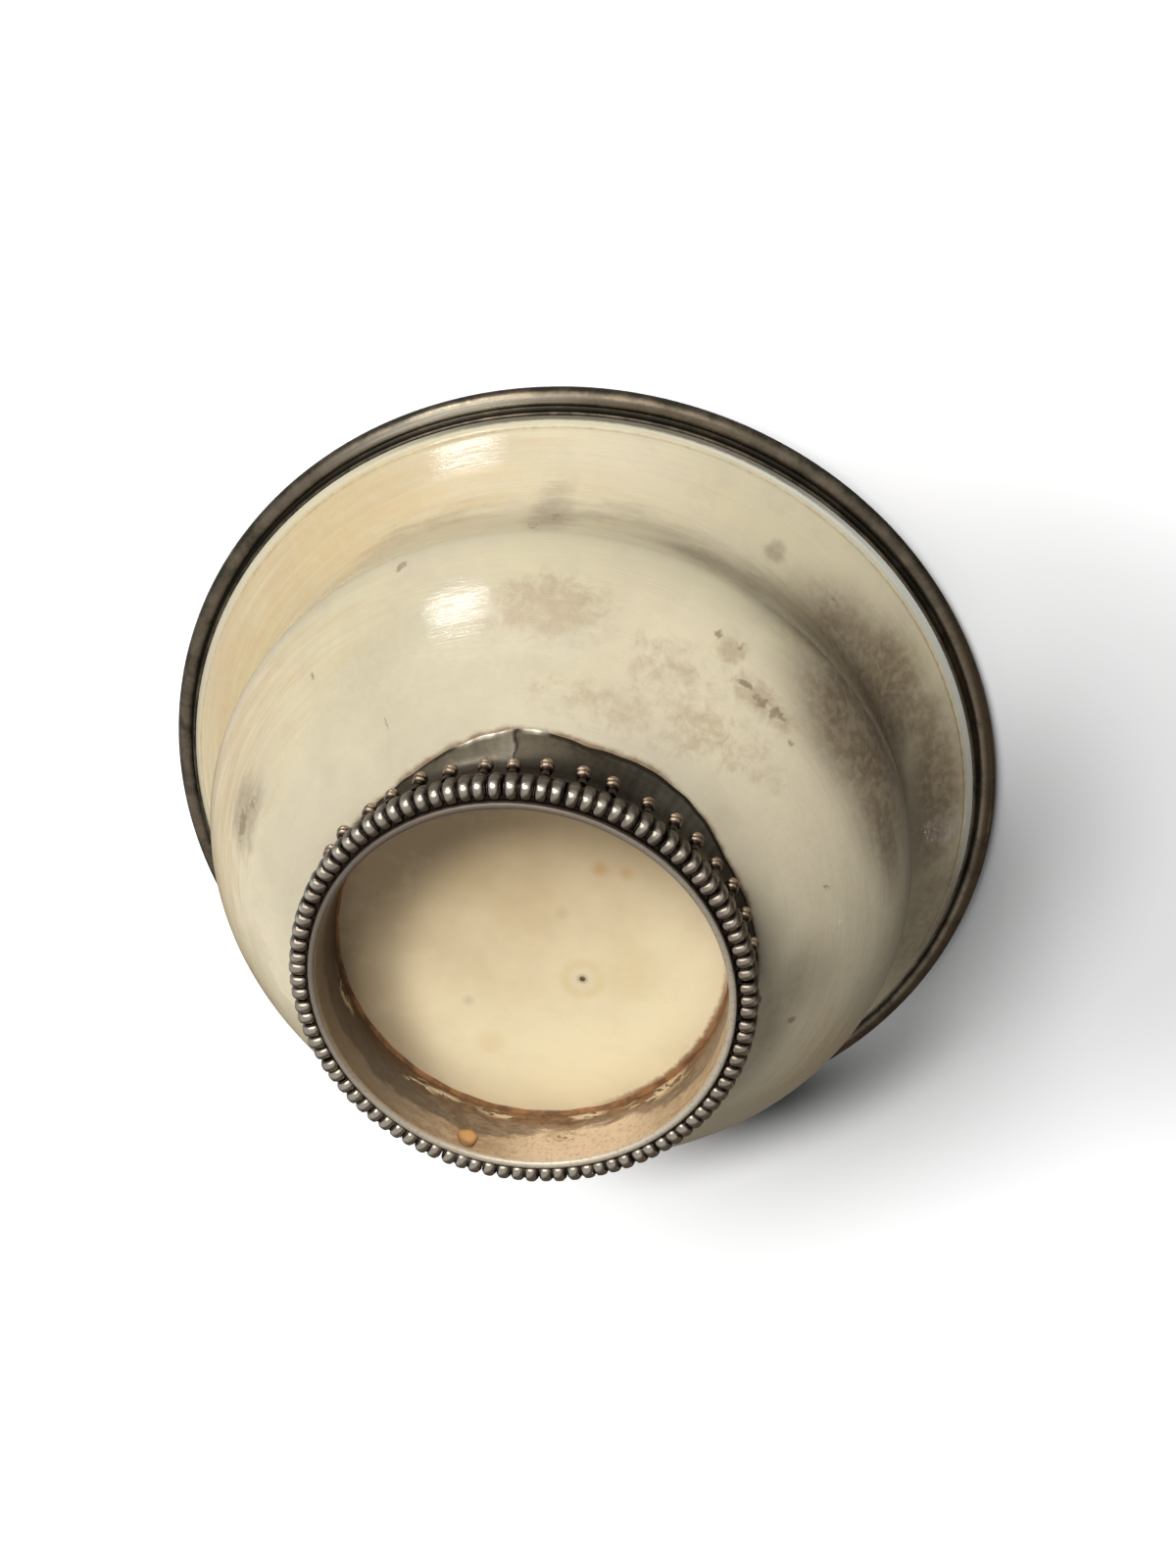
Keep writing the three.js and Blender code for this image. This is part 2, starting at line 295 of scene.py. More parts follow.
class Nodes:
    """A node tree under construction, with short calls that add its nodes."""

    def __init__(self, tree):
        self.tree = tree
        tree.nodes.clear()

    def put(self, value, socket):
        """Links another node's output to an input, or sets the input to a value."""
        if isinstance(value, bpy.types.NodeSocket):
            self.tree.links.new(value, socket)
        elif isinstance(value, tuple) and len(value) == 3 and socket.type == "RGBA":
            socket.default_value = (*value, 1)
        else:
            socket.default_value = value

    def add(self, kind, *first_inputs, out=0, **named):
        """Adds a node, by default a shader one, and gives an output. Capital names are its inputs."""
        node = self.tree.nodes.new(kind if "Node" in kind else "ShaderNode" + kind)
        for name, value in named.items():
            if name[0].islower():
                setattr(node, name, value)
        for value, socket in zip(first_inputs, node.inputs):
            self.put(value, socket)
        for name, value in named.items():
            if name[0].isupper():
                self.put(value, node.inputs[name.replace("_", " ")])
        return node.outputs[out]

    def show(self, surface, output="OutputMaterial"):
        self.put(surface, self.tree.nodes.new("ShaderNode" + output).inputs["Surface"])

    def math(self, operation, *values):
        return self.add("Math", *values, operation=operation)

    def vector(self, operation, *values, out=0):
        return self.add("VectorMath", *values, out=out, operation=operation)

    def plus(self, first, second):
        return self.math("ADD", first, second)

    def minus(self, first, second):
        return self.math("SUBTRACT", first, second)

    def times(self, product, *others):
        for value in others:
            product = self.math("MULTIPLY", product, value)
        return product

    def step(self, value, low, high, least=0.0):
        """The least below the low value, 1 above the high one, smooth between. Low may be the larger."""
        return self.add("MapRange", interpolation_type="SMOOTHSTEP", Value=value,
                        From_Min=low, From_Max=high, To_Min=least)

    def spread(self, value, low, high):
        """A number between 0 and 1 taken to the range from low to high."""
        return self.plus(self.times(value, high - low), low)

    def distance(self, first, second):
        """The length of the two sides' diagonal."""
        return self.math("SQRT", self.plus(self.times(first, first), self.times(second, second)))

    def parts(self, vector):
        return self.add("SeparateXYZ", vector).node.outputs


class Finish(Nodes):
    """The material of a piece. It reads x, y, z and the radius in mm."""

    def __init__(self, name):
        self.material = bpy.data.materials.new(name)
        self.material.use_nodes = True
        super().__init__(self.material.node_tree)
        self.shader = self.add("BsdfPrincipled").node
        self.show(self.shader.outputs[0])
        metres = self.add("TexCoord", out="Object")
        self.place = self.vector("MULTIPLY", metres, (1 / MM, 1 / MM, 1 / MM))
        self.x, self.y, self.z = self.parts(self.place)
        self.radius = self.distance(self.x, self.y)

    def noise(self, size, detail=4.0, roughness=0.55, distortion=0.0, where=None):
        """Clouds of about a size in mm, between 0 and 1."""
        where = self.place if where is None else where
        return self.add("TexNoise", out="Fac", Vector=where, Scale=1.0 / size, Detail=detail,
                        Roughness=roughness, Distortion=distortion)

    def turned(self, around, along, detail=3, roughness=0.6, distortion=0.0):
        """Noise drawn out along the turning, with its two grain lengths in mm."""
        shrink = self.math("DIVIDE", TURNED_AT / around, self.math("MAXIMUM", self.radius, 1.0))
        rise = self.times(self.plus(self.z, self.radius), 1.0 / along)
        x, y = self.times(self.x, shrink), self.times(self.y, shrink)
        return self.noise(1, detail, roughness, distortion, self.add("CombineXYZ", x, y, rise))

    def painted(self, name):
        return self.add("Attribute", attribute_name=name, out="Fac")

    def near(self, centre, reach, core):
        """1 within a core round a point, falling to 0 at its reach, all in mm."""
        return self.step(self.vector("DISTANCE", self.place, centre, out="Value"), reach, core)

    def blend(self, amount, first, second):
        """The first tone with an amount of the second in it."""
        node = self.add("Mix", data_type="RGBA", Factor=amount).node
        self.put(first, node.inputs[6])
        self.put(second, node.inputs[7])
        return node.outputs[2]

    def relief(self, height, depth):
        """Bump from a height between 0 and 1 that stands for a depth in mm."""
        normal = self.shader.inputs["Normal"]
        bump = self.add("Bump", Distance=depth * MM, Height=height)
        if normal.is_linked:
            self.put(normal.links[0].from_socket, bump.node.inputs["Normal"])
        self.put(bump, normal)

    def set(self, **values):
        for name, value in values.items():
            self.put(value, self.shader.inputs[name.replace("_", " ")])


# Tones of the bone
CREAM = (0.80, 0.71, 0.475)
WARM_CREAM = (0.765, 0.665, 0.475)
MILK = (0.765, 0.69, 0.535)
PINKISH = (0.66, 0.55, 0.43)
TURNING_LINE = (0.55, 0.46, 0.33)
# Painted layers of the bone: name, tone, strength, pattern, how ragged the pattern makes it, and the painted
# values at which it begins and is full
BONE_LAYERS = [
    # Painted shade, darkening the bone in patches
    ("dim", (0.62, 0.55, 0.385), 0.8, "broad", 0.8, 0.1, 1.0),
    # Painted light, brightening the bone in patches
    ("pale", (0.96, 0.84, 0.60), 0.85, "broad", 0.8, 0.1, 1.0),
    ("tan", (0.71, 0.53, 0.28), 0.8, "streaks", 2.1, 0.1, 1.2),
    # Brown stain with painted shade over it, mostly on the side towards +X -Y
    ("brown", (0.19, 0.128, 0.074), 0.9, "streaks", 0.22, 0.1, 1.35),
    ("red_stain", (0.49, 0.35, 0.205), 0.6, "grainy", 2.6, 0.1, 1.05),
    ("grey_stain", (0.34, 0.275, 0.19), 0.62, "smears", 1.5, 0.1, 1.0),
    ("fleck", (0.30, 0.215, 0.13), 0.7, "fine", 2.0, 0.45, 0.8),
    # Dirt, with painted shade in the line along the collar's edge
    ("dirt_and_painted_shade", (0.24, 0.14, 0.065), 0.9, "fine", 0.6, 0.1, 0.95),
]


def bone_body(f):
    """Cream with soft clouds, milky near the foot, with fine lines of turning."""
    clouds = f.step(f.noise(13, 3, 0.55, 0.3), 0.4, 0.66)
    colour = f.blend(f.times(clouds, 0.75), CREAM, WARM_CREAM)
    milky = f.step(f.plus(f.z, f.times(f.noise(9, 4, 0.6, 0.3), 14.0)), 31.0, 19.0)
    colour = f.blend(f.times(milky, 0.5), colour, MILK)
    pinkish = f.step(f.noise(6, 5, 0.6, 0.5), 0.5, 0.72)
    colour = f.blend(f.times(pinkish, 0.3), colour, PINKISH)
    return f.blend(f.times(f.step(f.turned(9, 0.3), 0.48, 0.72), 0.14), colour, TURNING_LINE)


def stained(f, colour, fine):
    """The bone's colour under its painted layers: stains, painted light and painted shade."""
    patterns = {
        "fine": fine,
        "broad": f.noise(5, 3, 0.5, 0.4),
        "grainy": f.noise(2.4, 6, 0.68, 0.4),
        "streaks": f.turned(8, 1.3, 4, 0.6, 0.3),
        "smears": f.turned(4.5, 1.8, 6, 0.66, 0.4),
    }
    speckled = f.spread(f.step(fine, 0.3, 0.65), 0.75, 1.0)
    for name, tone, strength, pattern, ragged, begins, full in BONE_LAYERS:
        painted = f.painted(name)
        reach = f.plus(painted, f.times(f.minus(patterns[pattern], 0.5), ragged))
        amount = f.times(f.step(reach, begins, full), strength, f.step(painted, 0.0, 0.25), speckled)
        colour = f.blend(amount, colour, tone)
    return colour


def bevelled(f, colour, fine):
    """The pale bevel under the rim, which fades under painted shade towards +X +Y, and dirt and painted
    shade in the joint above it.
    """
    start = bevel_radius - BEVEL_WIDTH
    paler = f.blend(f.step(f.x, -15.0, 35.0), (0.81, 0.745, 0.54), (0.95, 0.95, 0.86))
    # Painted shade takes the paleness off the bevel towards +X +Y
    faded = f.times(f.step(f.y, -12.0, 2.0), f.step(f.x, 20.0, 35.0), 0.85)
    bevel = f.times(f.step(f.radius, start + 0.25, start + 0.45), f.minus(1.0, faded), 0.85)
    colour = f.blend(bevel, colour, paler)
    # A dark line of dirt and painted shade just inside the bevel's outer edge, under the rim
    joint = f.step(f.plus(f.radius, f.times(fine, 0.2)), bevel_radius - 0.5, bevel_radius - 0.25)
    joint = f.times(joint, f.step(f.x, 38.0, 12.0), f.step(f.x, -46.0, -22.0),
                    f.step(f.z, bone_top - 3.0, bone_top - 2.5), 0.85)
    return f.blend(joint, colour, (0.10, 0.082, 0.058))


def bone_finish():
    """Old polished bone, stained in places and with painted light and shade: duller near the foot and at the
    waist, smoothest at +X.
    """
    f = Finish("bone")
    fine = f.noise(1.3, 4, 0.6, 0.3)
    colour = bevelled(f, stained(f, bone_body(f), fine), fine)
    f.set(Base_Color=underside_colour(f, colour, fine), IOR=1.46)
    f.set(Subsurface_Weight=0.12, Subsurface_Radius=(2.2, 1.5, 0.9), Subsurface_Scale=MM)
    polish = f.step(f.plus(f.z, f.times(f.noise(6, 3), 5.0)), 20.0, 23.5)
    gloss = f.spread(f.turned(2.2, 0.5, 4), 0.05, 0.17)
    dull = f.times(f.step(f.z, 36.0, 38.0), f.step(f.z, 51.0, 49.5), f.step(f.x, 15.0, 0.0), 0.3)
    gloss = f.times(f.plus(gloss, dull), f.spread(f.step(f.x, 22.0, 32.0), 1.0, 0.45))
    f.set(Roughness=f.plus(gloss, f.times(f.minus(1.0, polish), 0.34)))
    f.relief(f.turned(6, 0.28), 0.022)
    f.relief(f.noise(1.6, 4, 0.6), 0.014)
    f.relief(f.turned(7, 2.2, 2, 0.5), 0.05)
    return f.material


# The closed canal and other spots on the underside: place in mm, reach, even core, tone and strength
CANAL = (7.3, 2.5)
UNDERSIDE_SPOTS = [
    (CANAL, 3.6, 2.2, (0.82, 0.62, 0.31), 0.5),
    (CANAL, 2.3, 1.3, (0.88, 0.77, 0.52), 0.8),
    (CANAL, 1.0, 0.35, (0.50, 0.34, 0.17), 0.75),
    (CANAL, 0.48, 0.26, (0.035, 0.02, 0.012), 1.0),
    ((5.5, -14.3), 1.7, 0.2, (0.66, 0.36, 0.13), 0.6),
    ((8.9, -14.7), 1.4, 0.2, (0.70, 0.40, 0.16), 0.55),
    ((2.4, -6.4), 1.3, 0.2, (0.50, 0.43, 0.28), 0.3),
    ((-6.3, 10.5), 1.2, 0.2, (0.50, 0.43, 0.28), 0.35),
    ((-2.0, 16.0), 3.0, 0.4, (0.82, 0.60, 0.28), 0.4),
    ((13.0, 0.0), 6.0, 1.0, (0.85, 0.68, 0.38), 0.5),
]


def underside_colour(f, colour, fine):
    """The flat bone inside the foot: yellower, palest at one side through its own tone and painted light,
    with a painted shadow at -X, soaked with lac at its edge.
    """
    # Dark at -X -Y to pale at +X +Y: partly the bone's own tone, partly painted light and shade
    tone_and_light_slope = f.plus(f.times(f.x, 0.6), f.times(f.y, 0.8))
    tone_and_light_slope = f.plus(tone_and_light_slope, f.times(f.minus(f.noise(9, 3), 0.5), 22.0))
    tone = f.blend(f.step(tone_and_light_slope, -24.0, 16.0), (0.64, 0.475, 0.265), (0.98, 0.835, 0.545))
    # Painted shadow of the foot ring: a crescent along the -X edge
    far_side = f.distance(f.minus(f.x, 8.0), f.minus(f.y, 3.5))
    painted_shadow_crescent = f.times(f.step(far_side, 20.5, 28.0), f.step(f.x, 4.0, -14.0), 0.7)
    tone = f.blend(painted_shadow_crescent, tone, (0.30, 0.215, 0.125))
    tone = f.blend(f.times(f.step(f.noise(4, 4, 0.6, 0.3), 0.5, 0.7), 0.15), tone, (0.80, 0.63, 0.37))
    speckled = f.spread(f.step(fine, 0.3, 0.6), 0.7, 1.0)
    for spot, reach, core, spot_tone, strength in UNDERSIDE_SPOTS:
        amount = f.times(f.near((*spot, base_height), reach, core), speckled, strength)
        tone = f.blend(amount, tone, spot_tone)
    soaked = f.plus(f.radius, f.times(f.minus(fine, 0.5), 1.2))
    soaked = f.times(f.step(soaked, foot_radius - 1.6, foot_radius - 0.8), f.step(f.x, 12.0, 20.0),
                     f.step(f.y, -12.0, 2.0), 0.85)
    tone = f.blend(soaked, tone, (0.24, 0.09, 0.03))
    flat = f.step(f.radius, BASE_RADIUS - 0.6, BASE_RADIUS - 1.0)
    return f.blend(f.times(flat, f.step(f.z, base_height + 0.4, base_height + 0.2)), colour, tone)


# Tone of the painted highlights on the silver
HIGHLIGHT_TONE = (0.85, 0.80, 0.68)


def silver_finish(name, worn, dark, tarnished, rough, scratch=(7, 0.12), outer=0.0):
    """Tarnished silver: dark with tarnish and painted shade, brighter with painted highlights, scratched
    along the turning.
    """
    f = Finish(name)
    cloud = f.step(f.noise(5, 5, 0.65, 0.2), 0.35, 0.7)
    fine = f.step(f.noise(0.7, 4, 0.65), 0.4, 0.7)
    tarnish_and_shade = f.plus(f.times(cloud, tarnished), f.times(fine, 0.15))
    # Tarnish and painted shade from the piece's painted values
    tarnish_and_shade = f.plus(tarnish_and_shade, f.painted("tarnish_and_painted_shade"))
    # On the beads: painted shade on their outer side towards -Y
    if outer:
        tarnish_and_shade = f.plus(tarnish_and_shade, f.times(f.painted("outer"), f.step(f.y, 8.0, -8.0), outer))
    tarnish_and_shade = f.math("MINIMUM", f.math("MAXIMUM", tarnish_and_shade, 0.0), 1.0)
    colour = f.blend(tarnish_and_shade, worn, dark)
    lines = f.turned(*scratch, 3, 0.7)
    colour = f.blend(f.times(f.step(lines, 0.56, 0.7), f.minus(1.0, tarnish_and_shade), 0.3), colour, worn)
    # Painted highlights, and on the beads painted light on their underside towards +Y
    painted_highlight = f.painted("painted_highlight")
    if outer:
        painted_highlight = f.times(painted_highlight, f.step(f.y, 12.0, -6.0))
        painted_highlight = f.plus(painted_highlight, f.times(f.painted("under"), f.step(f.y, -4.0, 18.0), 0.45))
    painted_highlight = f.times(f.math("MINIMUM", painted_highlight, 1.0), f.spread(f.step(lines, 0.35, 0.6), 0.6, 1.0))
    f.set(Base_Color=f.blend(painted_highlight, colour, HIGHLIGHT_TONE), Metallic=1.0)
    f.set(Roughness=f.plus(f.spread(tarnish_and_shade, *rough), f.times(f.step(lines, 0.5, 0.7), 0.05)))
    f.relief(lines, 0.008)
    f.relief(f.noise(1.6, 4, 0.6), 0.03)
    return f.material


def rim_finish():
    return silver_finish("rim_silver", (0.25, 0.205, 0.15), (0.05, 0.045, 0.034),
                         tarnished=0.6, rough=(0.24, 0.4), scratch=(9, 0.2))


def bead_finish():
    return silver_finish("bead_silver", (0.37, 0.315, 0.265), (0.036, 0.028, 0.022),
                         tarnished=0.25, rough=(0.12, 0.34), outer=0.55)


def knob_finish():
    return silver_finish("knob_silver", (0.37, 0.285, 0.21), (0.04, 0.029, 0.021),
                         tarnished=0.35, rough=(0.2, 0.38))


def collar_finish():
    return silver_finish("collar_silver", (0.078, 0.067, 0.05), (0.028, 0.023, 0.016),
                         tarnished=0.5, rough=(0.36, 0.5), scratch=(3, 0.5))


def lining_finish():
    return silver_finish("lining_silver", (0.72, 0.68, 0.61), (0.3, 0.255, 0.2),
                         tarnished=0.5, rough=(0.2, 0.38))


def foot_finish():
    """Inside of the foot: thin worn gilding over copper-toned silver, grey above, lac-stained at the top,
    with painted shade on its -X side and at the lip's edge and painted light towards +Y.
    """
    f = Finish("gilt_silver")
    height = f.plus(f.z, f.times(f.minus(f.turned(5, 1.6, 6, 0.62, 0.3), 0.5), 4.0))
    patches = f.turned(2.4, 0.9, 6, 0.68, 0.3)
    patchy = f.step(patches, 0.38, 0.62)
    # Painted shade on the wall's -X side
    away = f.step(f.x, 0.0, -14.0)
    far_shaded_side = f.step(f.x, 0.0, -16.0)
    gilt = f.blend(patchy, (0.58, 0.44, 0.315), (0.42, 0.305, 0.205))
    # Painted light on part of the wall towards +Y
    painted_light_area = f.times(f.step(f.x, 0.0, 9.0), f.step(f.x, 25.0, 17.0), f.step(f.y, 8.0, 18.0), 0.65)
    gilt = f.blend(painted_light_area, gilt, (0.97, 0.80, 0.64))
    gilt = f.blend(f.times(far_shaded_side, 0.85), gilt, (0.17, 0.125, 0.085))
    grey = f.blend(patchy, (0.31, 0.24, 0.172), (0.18, 0.13, 0.09))
    grey = f.blend(f.times(away, 0.85), grey, (0.075, 0.053, 0.036))
    grey = f.blend(f.times(painted_light_area, 0.5), grey, (0.55, 0.42, 0.31))
    brown = f.blend(patchy, (0.29, 0.165, 0.08), (0.15, 0.085, 0.045))
    brown = f.blend(f.times(away, 0.8), brown, (0.055, 0.033, 0.02))
    colour = f.blend(f.step(f.minus(height, f.times(painted_light_area, 4.0)), 3.7, 4.7), gilt, grey)
    colour = f.blend(f.step(height, 7.0, 8.8), colour, brown)
    chips = f.turned(3.0, 1.0, 4, 0.6, 0.5)
    flaky = f.painted("flaky")
    colour = f.blend(f.times(f.step(chips, 0.47, 0.49), flaky, 0.8), colour, (0.15, 0.08, 0.035))
    flake = f.times(f.step(chips, 0.505, 0.52), flaky)
    colour = f.blend(flake, colour, (0.74, 0.60, 0.41))
    lit_side = f.plus(f.times(f.x, 0.7), f.times(f.y, 0.7))
    lip = f.blend(f.step(lit_side, -28.0, 26.0), (0.19, 0.16, 0.13), (0.70, 0.62, 0.50))
    colour = f.blend(f.times(f.step(f.z, 0.7, 0.3), 0.95), colour, lip)
    # Painted shadow along the lip's outer edge towards -Y
    side = f.times(f.step(f.radius, lip_radius - 0.16, lip_radius - 0.04), f.step(f.y, 24.0, -6.0), 0.85)
    colour = f.blend(side, colour, (0.06, 0.048, 0.038))
    pits = f.step(f.noise(0.55, 5, 0.7), 0.5, 0.68)
    colour = f.blend(f.times(pits, 0.4), colour, (0.16, 0.10, 0.06))
    metallic = f.spread(f.step(height, 7.0, 9.0), 0.6, 0.3)
    metallic = f.times(metallic, f.spread(f.times(far_shaded_side, f.step(f.z, 0.8, 2.0)), 1.0, 0.1))
    f.set(Base_Color=colour, Metallic=metallic, Roughness=f.spread(f.noise(2), 0.3, 0.55))
    f.relief(flake, 0.12)
    f.relief(patches, 0.06)
    f.relief(f.turned(5, 0.2, 3, 0.7), 0.012)
    return f.material


def lac_finish():
    """Old lac: brown where it is thick or dirty, orange where it is thin."""
    f = Finish("lac")
    tone = f.blend(f.step(f.noise(2.5), 0.38, 0.62), (0.33, 0.145, 0.05), (0.14, 0.06, 0.022))
    f.set(Base_Color=f.blend(f.painted("thin"), tone, (0.68, 0.36, 0.12)), Coat_Weight=0.3)
    f.set(Subsurface_Weight=0.1, Subsurface_Radius=(1.5, 0.6, 0.2), Subsurface_Scale=MM)
    f.set(Roughness=f.spread(f.noise(1.5, 3), 0.2, 0.45))
    f.relief(f.noise(0.8), 0.05)
    return f.material


# Stains, painted light and painted shade on the outside: azimuth in degrees, distance up the wall from the
# underside's edge in mm, width and height in mm, and strength
GREY_STAINS = [
    (-178.5, 18.3, 9, 4.5, 1.0), (-105.5, 40, 5, 11, 1.0), (-92, 43, 18, 5, 0.6), (-79, 37.5, 8, 7, 1.0),
    # The band at azimuth -128, 44 mm up, is grey stain with painted shade at the waist beside the belly's
    # edge
    (-73, 36, 10, 6, 0.9), (-67, 39, 12, 8, 0.9), (-70, 48, 2, 2.6, 0.9), (-128, 44, 22, 5, 0.5),
    (60, 30, 14, 8, 0.8), (118, 20, 9, 12, 0.8), (95, 46, 12, 5, 0.8), (30, 44, 9, 4, 0.8),
    (-200, 45, 9, 9, 0.8),
]
RED_STAINS = [
    (-103, 20.3, 11, 6.5, 0.9), (-100.5, 19.8, 3.4, 2.4, 1.4), (-70, 11.5, 10, 7, 0.6),
    (-71, 22.4, 3.4, 3, 0.9), (-62.5, 19.4, 8, 3, 1.0), (-80, 16, 9, 6, 0.5), (-56, 13, 7, 4, 0.5),
    (-88, 9, 14, 5, 0.5), (75, 15, 16, 7, 0.8), (140, 28, 9, 9, 0.8), (40, 36, 8, 5, 0.7),
]
FLECKS = [
    (-107.5, 35.5, 1.4, 3, 0.9), (-105, 41, 1.2, 4, 0.7), (-78.5, 38.5, 3, 1.4, 0.7),
    (-74.4, 23.4, 0.8, 1.3, 1.1), (-70.2, 23.8, 0.8, 1.0, 1.1), (-66, 19.6, 2.0, 1.0, 0.9),
    (-62.3, 19.3, 2.2, 1.2, 0.9), (-58.5, 19.5, 1.7, 1.5, 1.0), (-53.4, 18.1, 1.3, 1.0, 1.0),
    (-24.9, 13.8, 1.3, 1.0, 0.9), (6, 10.9, 1.3, 1.1, 1.1), (-57.9, 48, 0.9, 0.7, 0.9),
    (-127.8, 29.7, 1.2, 1.5, 1.0), (-148.2, 21, 0.8, 0.8, 1.0), (-137, 8.8, 0.6, 2.4, 0.7),
    (-180, 18.6, 5, 1.4, 0.9), (-175, 17.6, 2, 1.2, 0.8), (70, 32, 3, 2, 1.0), (112, 22, 2, 3, 1.0),
    (88, 47, 2.4, 1.4, 1.0), (25, 30, 1.6, 1.6, 1.0),
]
TAN_STREAKS = [
    (-143, 51, 46, 14, 1.0), (-178, 48, 44, 15, 1.0), (-178, 27, 46, 15, 0.8), (-150, 43, 24, 9, 0.7),
    (100, 40, 26, 12, 0.9), (20, 24, 20, 14, 0.7),
]
# Painted light: where the bone is painted paler
PAINTED_LIGHT_PATCHES = [
    (-38, 15, 26, 16, 1.0), (-14, 18.5, 20, 12, 1.1), (-62, 17, 20, 15, 0.9), (-78, 20, 16, 11, 0.7),
    (-195, 19, 20, 9, 0.9), (-214, 10, 14, 14, 0.9), (150, 14, 20, 10, 0.9), (6, 16, 22, 9, 1.2),
    (-168, 28, 20, 10, 0.8),
]
# Painted shade: where the bone is painted darker
PAINTED_SHADE_PATCHES = [
    (-126, 15, 28, 16, 1.0), (-104, 17, 16, 14, 0.8), (-150, 10, 14, 8, 0.6), (-25, 5, 24, 4, 0.8),
    (0, 9, 14, 8, 1.0), (-50, 5, 10, 4, 0.7), (-120, 51, 26, 7, 0.8), (40, 20, 20, 20, 0.8),
]
# Brown stain and painted shade, mostly on the side towards +X -Y
BROWN_STAIN_AND_PAINTED_SHADE = [
    (-42, 48, 17, 9, 1.2), (-51, 44.5, 18, 11, 1.15), (-45, 28, 20, 12, 1.35), (-36, 26, 18, 9, 1.1),
    (-57, 34, 20, 9, 1.05), (-68, 36, 16, 6, 0.85), (-76, 36.5, 16, 5, 1.1), (-20, 51, 26, 8, 1.2),
    (-64, 46, 14, 5, 0.4), (-31, 40, 30, 12, 0.8), (-5, 11, 12, 9, 0.6), (-30, 25.5, 16, 5, 1.1),
    (-46, 33, 11, 10, 1.1), (-33, 50, 8, 8, 1.1), (4, 54, 26, 12, 0.9), (-43, 43, 12, 8, 1.3),
    (-37, 46, 12, 6, 1.2), (-50, 30, 10, 7, 1.3), (24, 6, 30, 10, 0.7), (128, 44, 30, 10, 0.7),
]
# Where the coating inside the foot has flaked, in the same way, with the height above the lip
FLAKES = [
    (35, 8.8, 12, 3.4, 1), (60, 9.4, 6, 1.4, 1), (86, 9.1, 6.5, 1.6, 1), (112, 8.6, 5, 2.4, 1),
    (104, 9.2, 6, 1.0, 1), (66, 5.6, 5, 2.8, 1), (-150, 8.5, 9, 2.5, 1), (-60, 8.8, 14, 2.2, 1),
    (150, 8.7, 8, 1.8, 1),
]


def blotches(angles, along, radius, places, middle=1.35, fall=0.65):
    """How strongly a set of stains shows at each point of a wall."""
    total = np.zeros(np.broadcast(angles, along).shape)
    for azimuth, height, width, tall, strength in places:
        turn = wrapped(angles - math.radians(azimuth))
        far = np.hypot(turn * radius / (width / 2), (along - height) / (tall / 2))
        total = np.maximum(total, strength * np.clip(middle - fall * far, 0, 1))
    return total


def bowl_dirt_and_shade(angles, along, radius, line_along):
    """Dirt and painted shade along the collar's edge, and dirt where the foot is seated and in the fine
    turned line.
    """
    past_edge = radius - collar_edge(angles)
    # Painted shade and dirt in a dark line just past the collar's edge
    skirt_shade_line = 1.3 * np.exp(-np.clip(past_edge, 0, 9) / 0.36) * (past_edge > -0.6) * (along < 8)
    skirt_shade_line *= 0.75 + 0.35 * np.sin(5 * angles + 1) * np.sin(13 * angles)
    seat_line = 0.8 * np.exp(-np.abs(radius - foot_radius) / 0.3) * (along < 0)
    turned_line = 0.4 * np.exp(-np.abs(along - line_along) / 0.25)
    return np.maximum(np.maximum(skirt_shade_line, seat_line), turned_line) * np.ones_like(angles)


def make_bone_bowl():
    wall, slopes = fine_curve()
    inside = beside(*bowl_curve(10), -BONE_WALL)
    last = wall[-1]
    across_line = LINE_HALF_WIDTH * heading(FLARE_SLOPE)
    groove = [last - across_line, beside(wall, slopes, -LINE_DEPTH)[-1], last + across_line]
    bevel_top = last + np.array([BEVEL_WIDTH, BEVEL_RISE])
    bevel = np.linspace(groove[-1], bevel_top, 5)[1:]
    floor = [(r, base_height) for r in np.linspace(1.5, BASE_RADIUS - 0.75, 20)]
    eased = round_corner((BASE_RADIUS - 0.2, base_height + 0.25), 0.25, -90, -50, 3)
    outside = np.vstack([floor, eased, wall[1:-1], groove, bevel])
    profile = np.vstack([outside, [(bevel_top[0], bone_top), *inside[::-1]]])
    angles, grid = polar_grid(profile)
    steps = np.hypot(*np.diff(profile, axis=0).T)
    along = np.concatenate([[0], np.cumsum(steps)])[:, None]
    wall_start = len(floor) + len(eased)
    wall_end = len(outside) - 6
    along -= along[wall_start - 1]
    radius = profile[:, :1]
    lumps = BONE_LUMPS * hand_made(angles, along, 5.0, 3)
    push_out(grid[wall_start:wall_end], angles, lumps[wall_start:wall_end])
    swell = np.sin(np.clip(along[:wall_end] / 45, 0, 1) * math.pi)
    grid[:wall_end, :, :2] += swell[..., None] * BELLY_SHIFT
    poles = [(0, 0, base_height), (0, 0, inside[0][1])]
    bowl = solid_of_rings("bone_cup", grid, poles, 30)
    for name, places in (
        ("grey_stain", GREY_STAINS), ("red_stain", RED_STAINS), ("fleck", FLECKS), ("tan", TAN_STREAKS),
        ("brown", BROWN_STAIN_AND_PAINTED_SHADE), ("pale", PAINTED_LIGHT_PATCHES), ("dim", PAINTED_SHADE_PATCHES),
    ):
        paint(bowl, name, blotches(angles, along, radius, places))
    paint(bowl, "dirt_and_painted_shade", bowl_dirt_and_shade(angles, along, radius, along[wall_start + len(wall) - 1]))
    dress(bowl, bone_finish(), "bone", "bone_bowl")


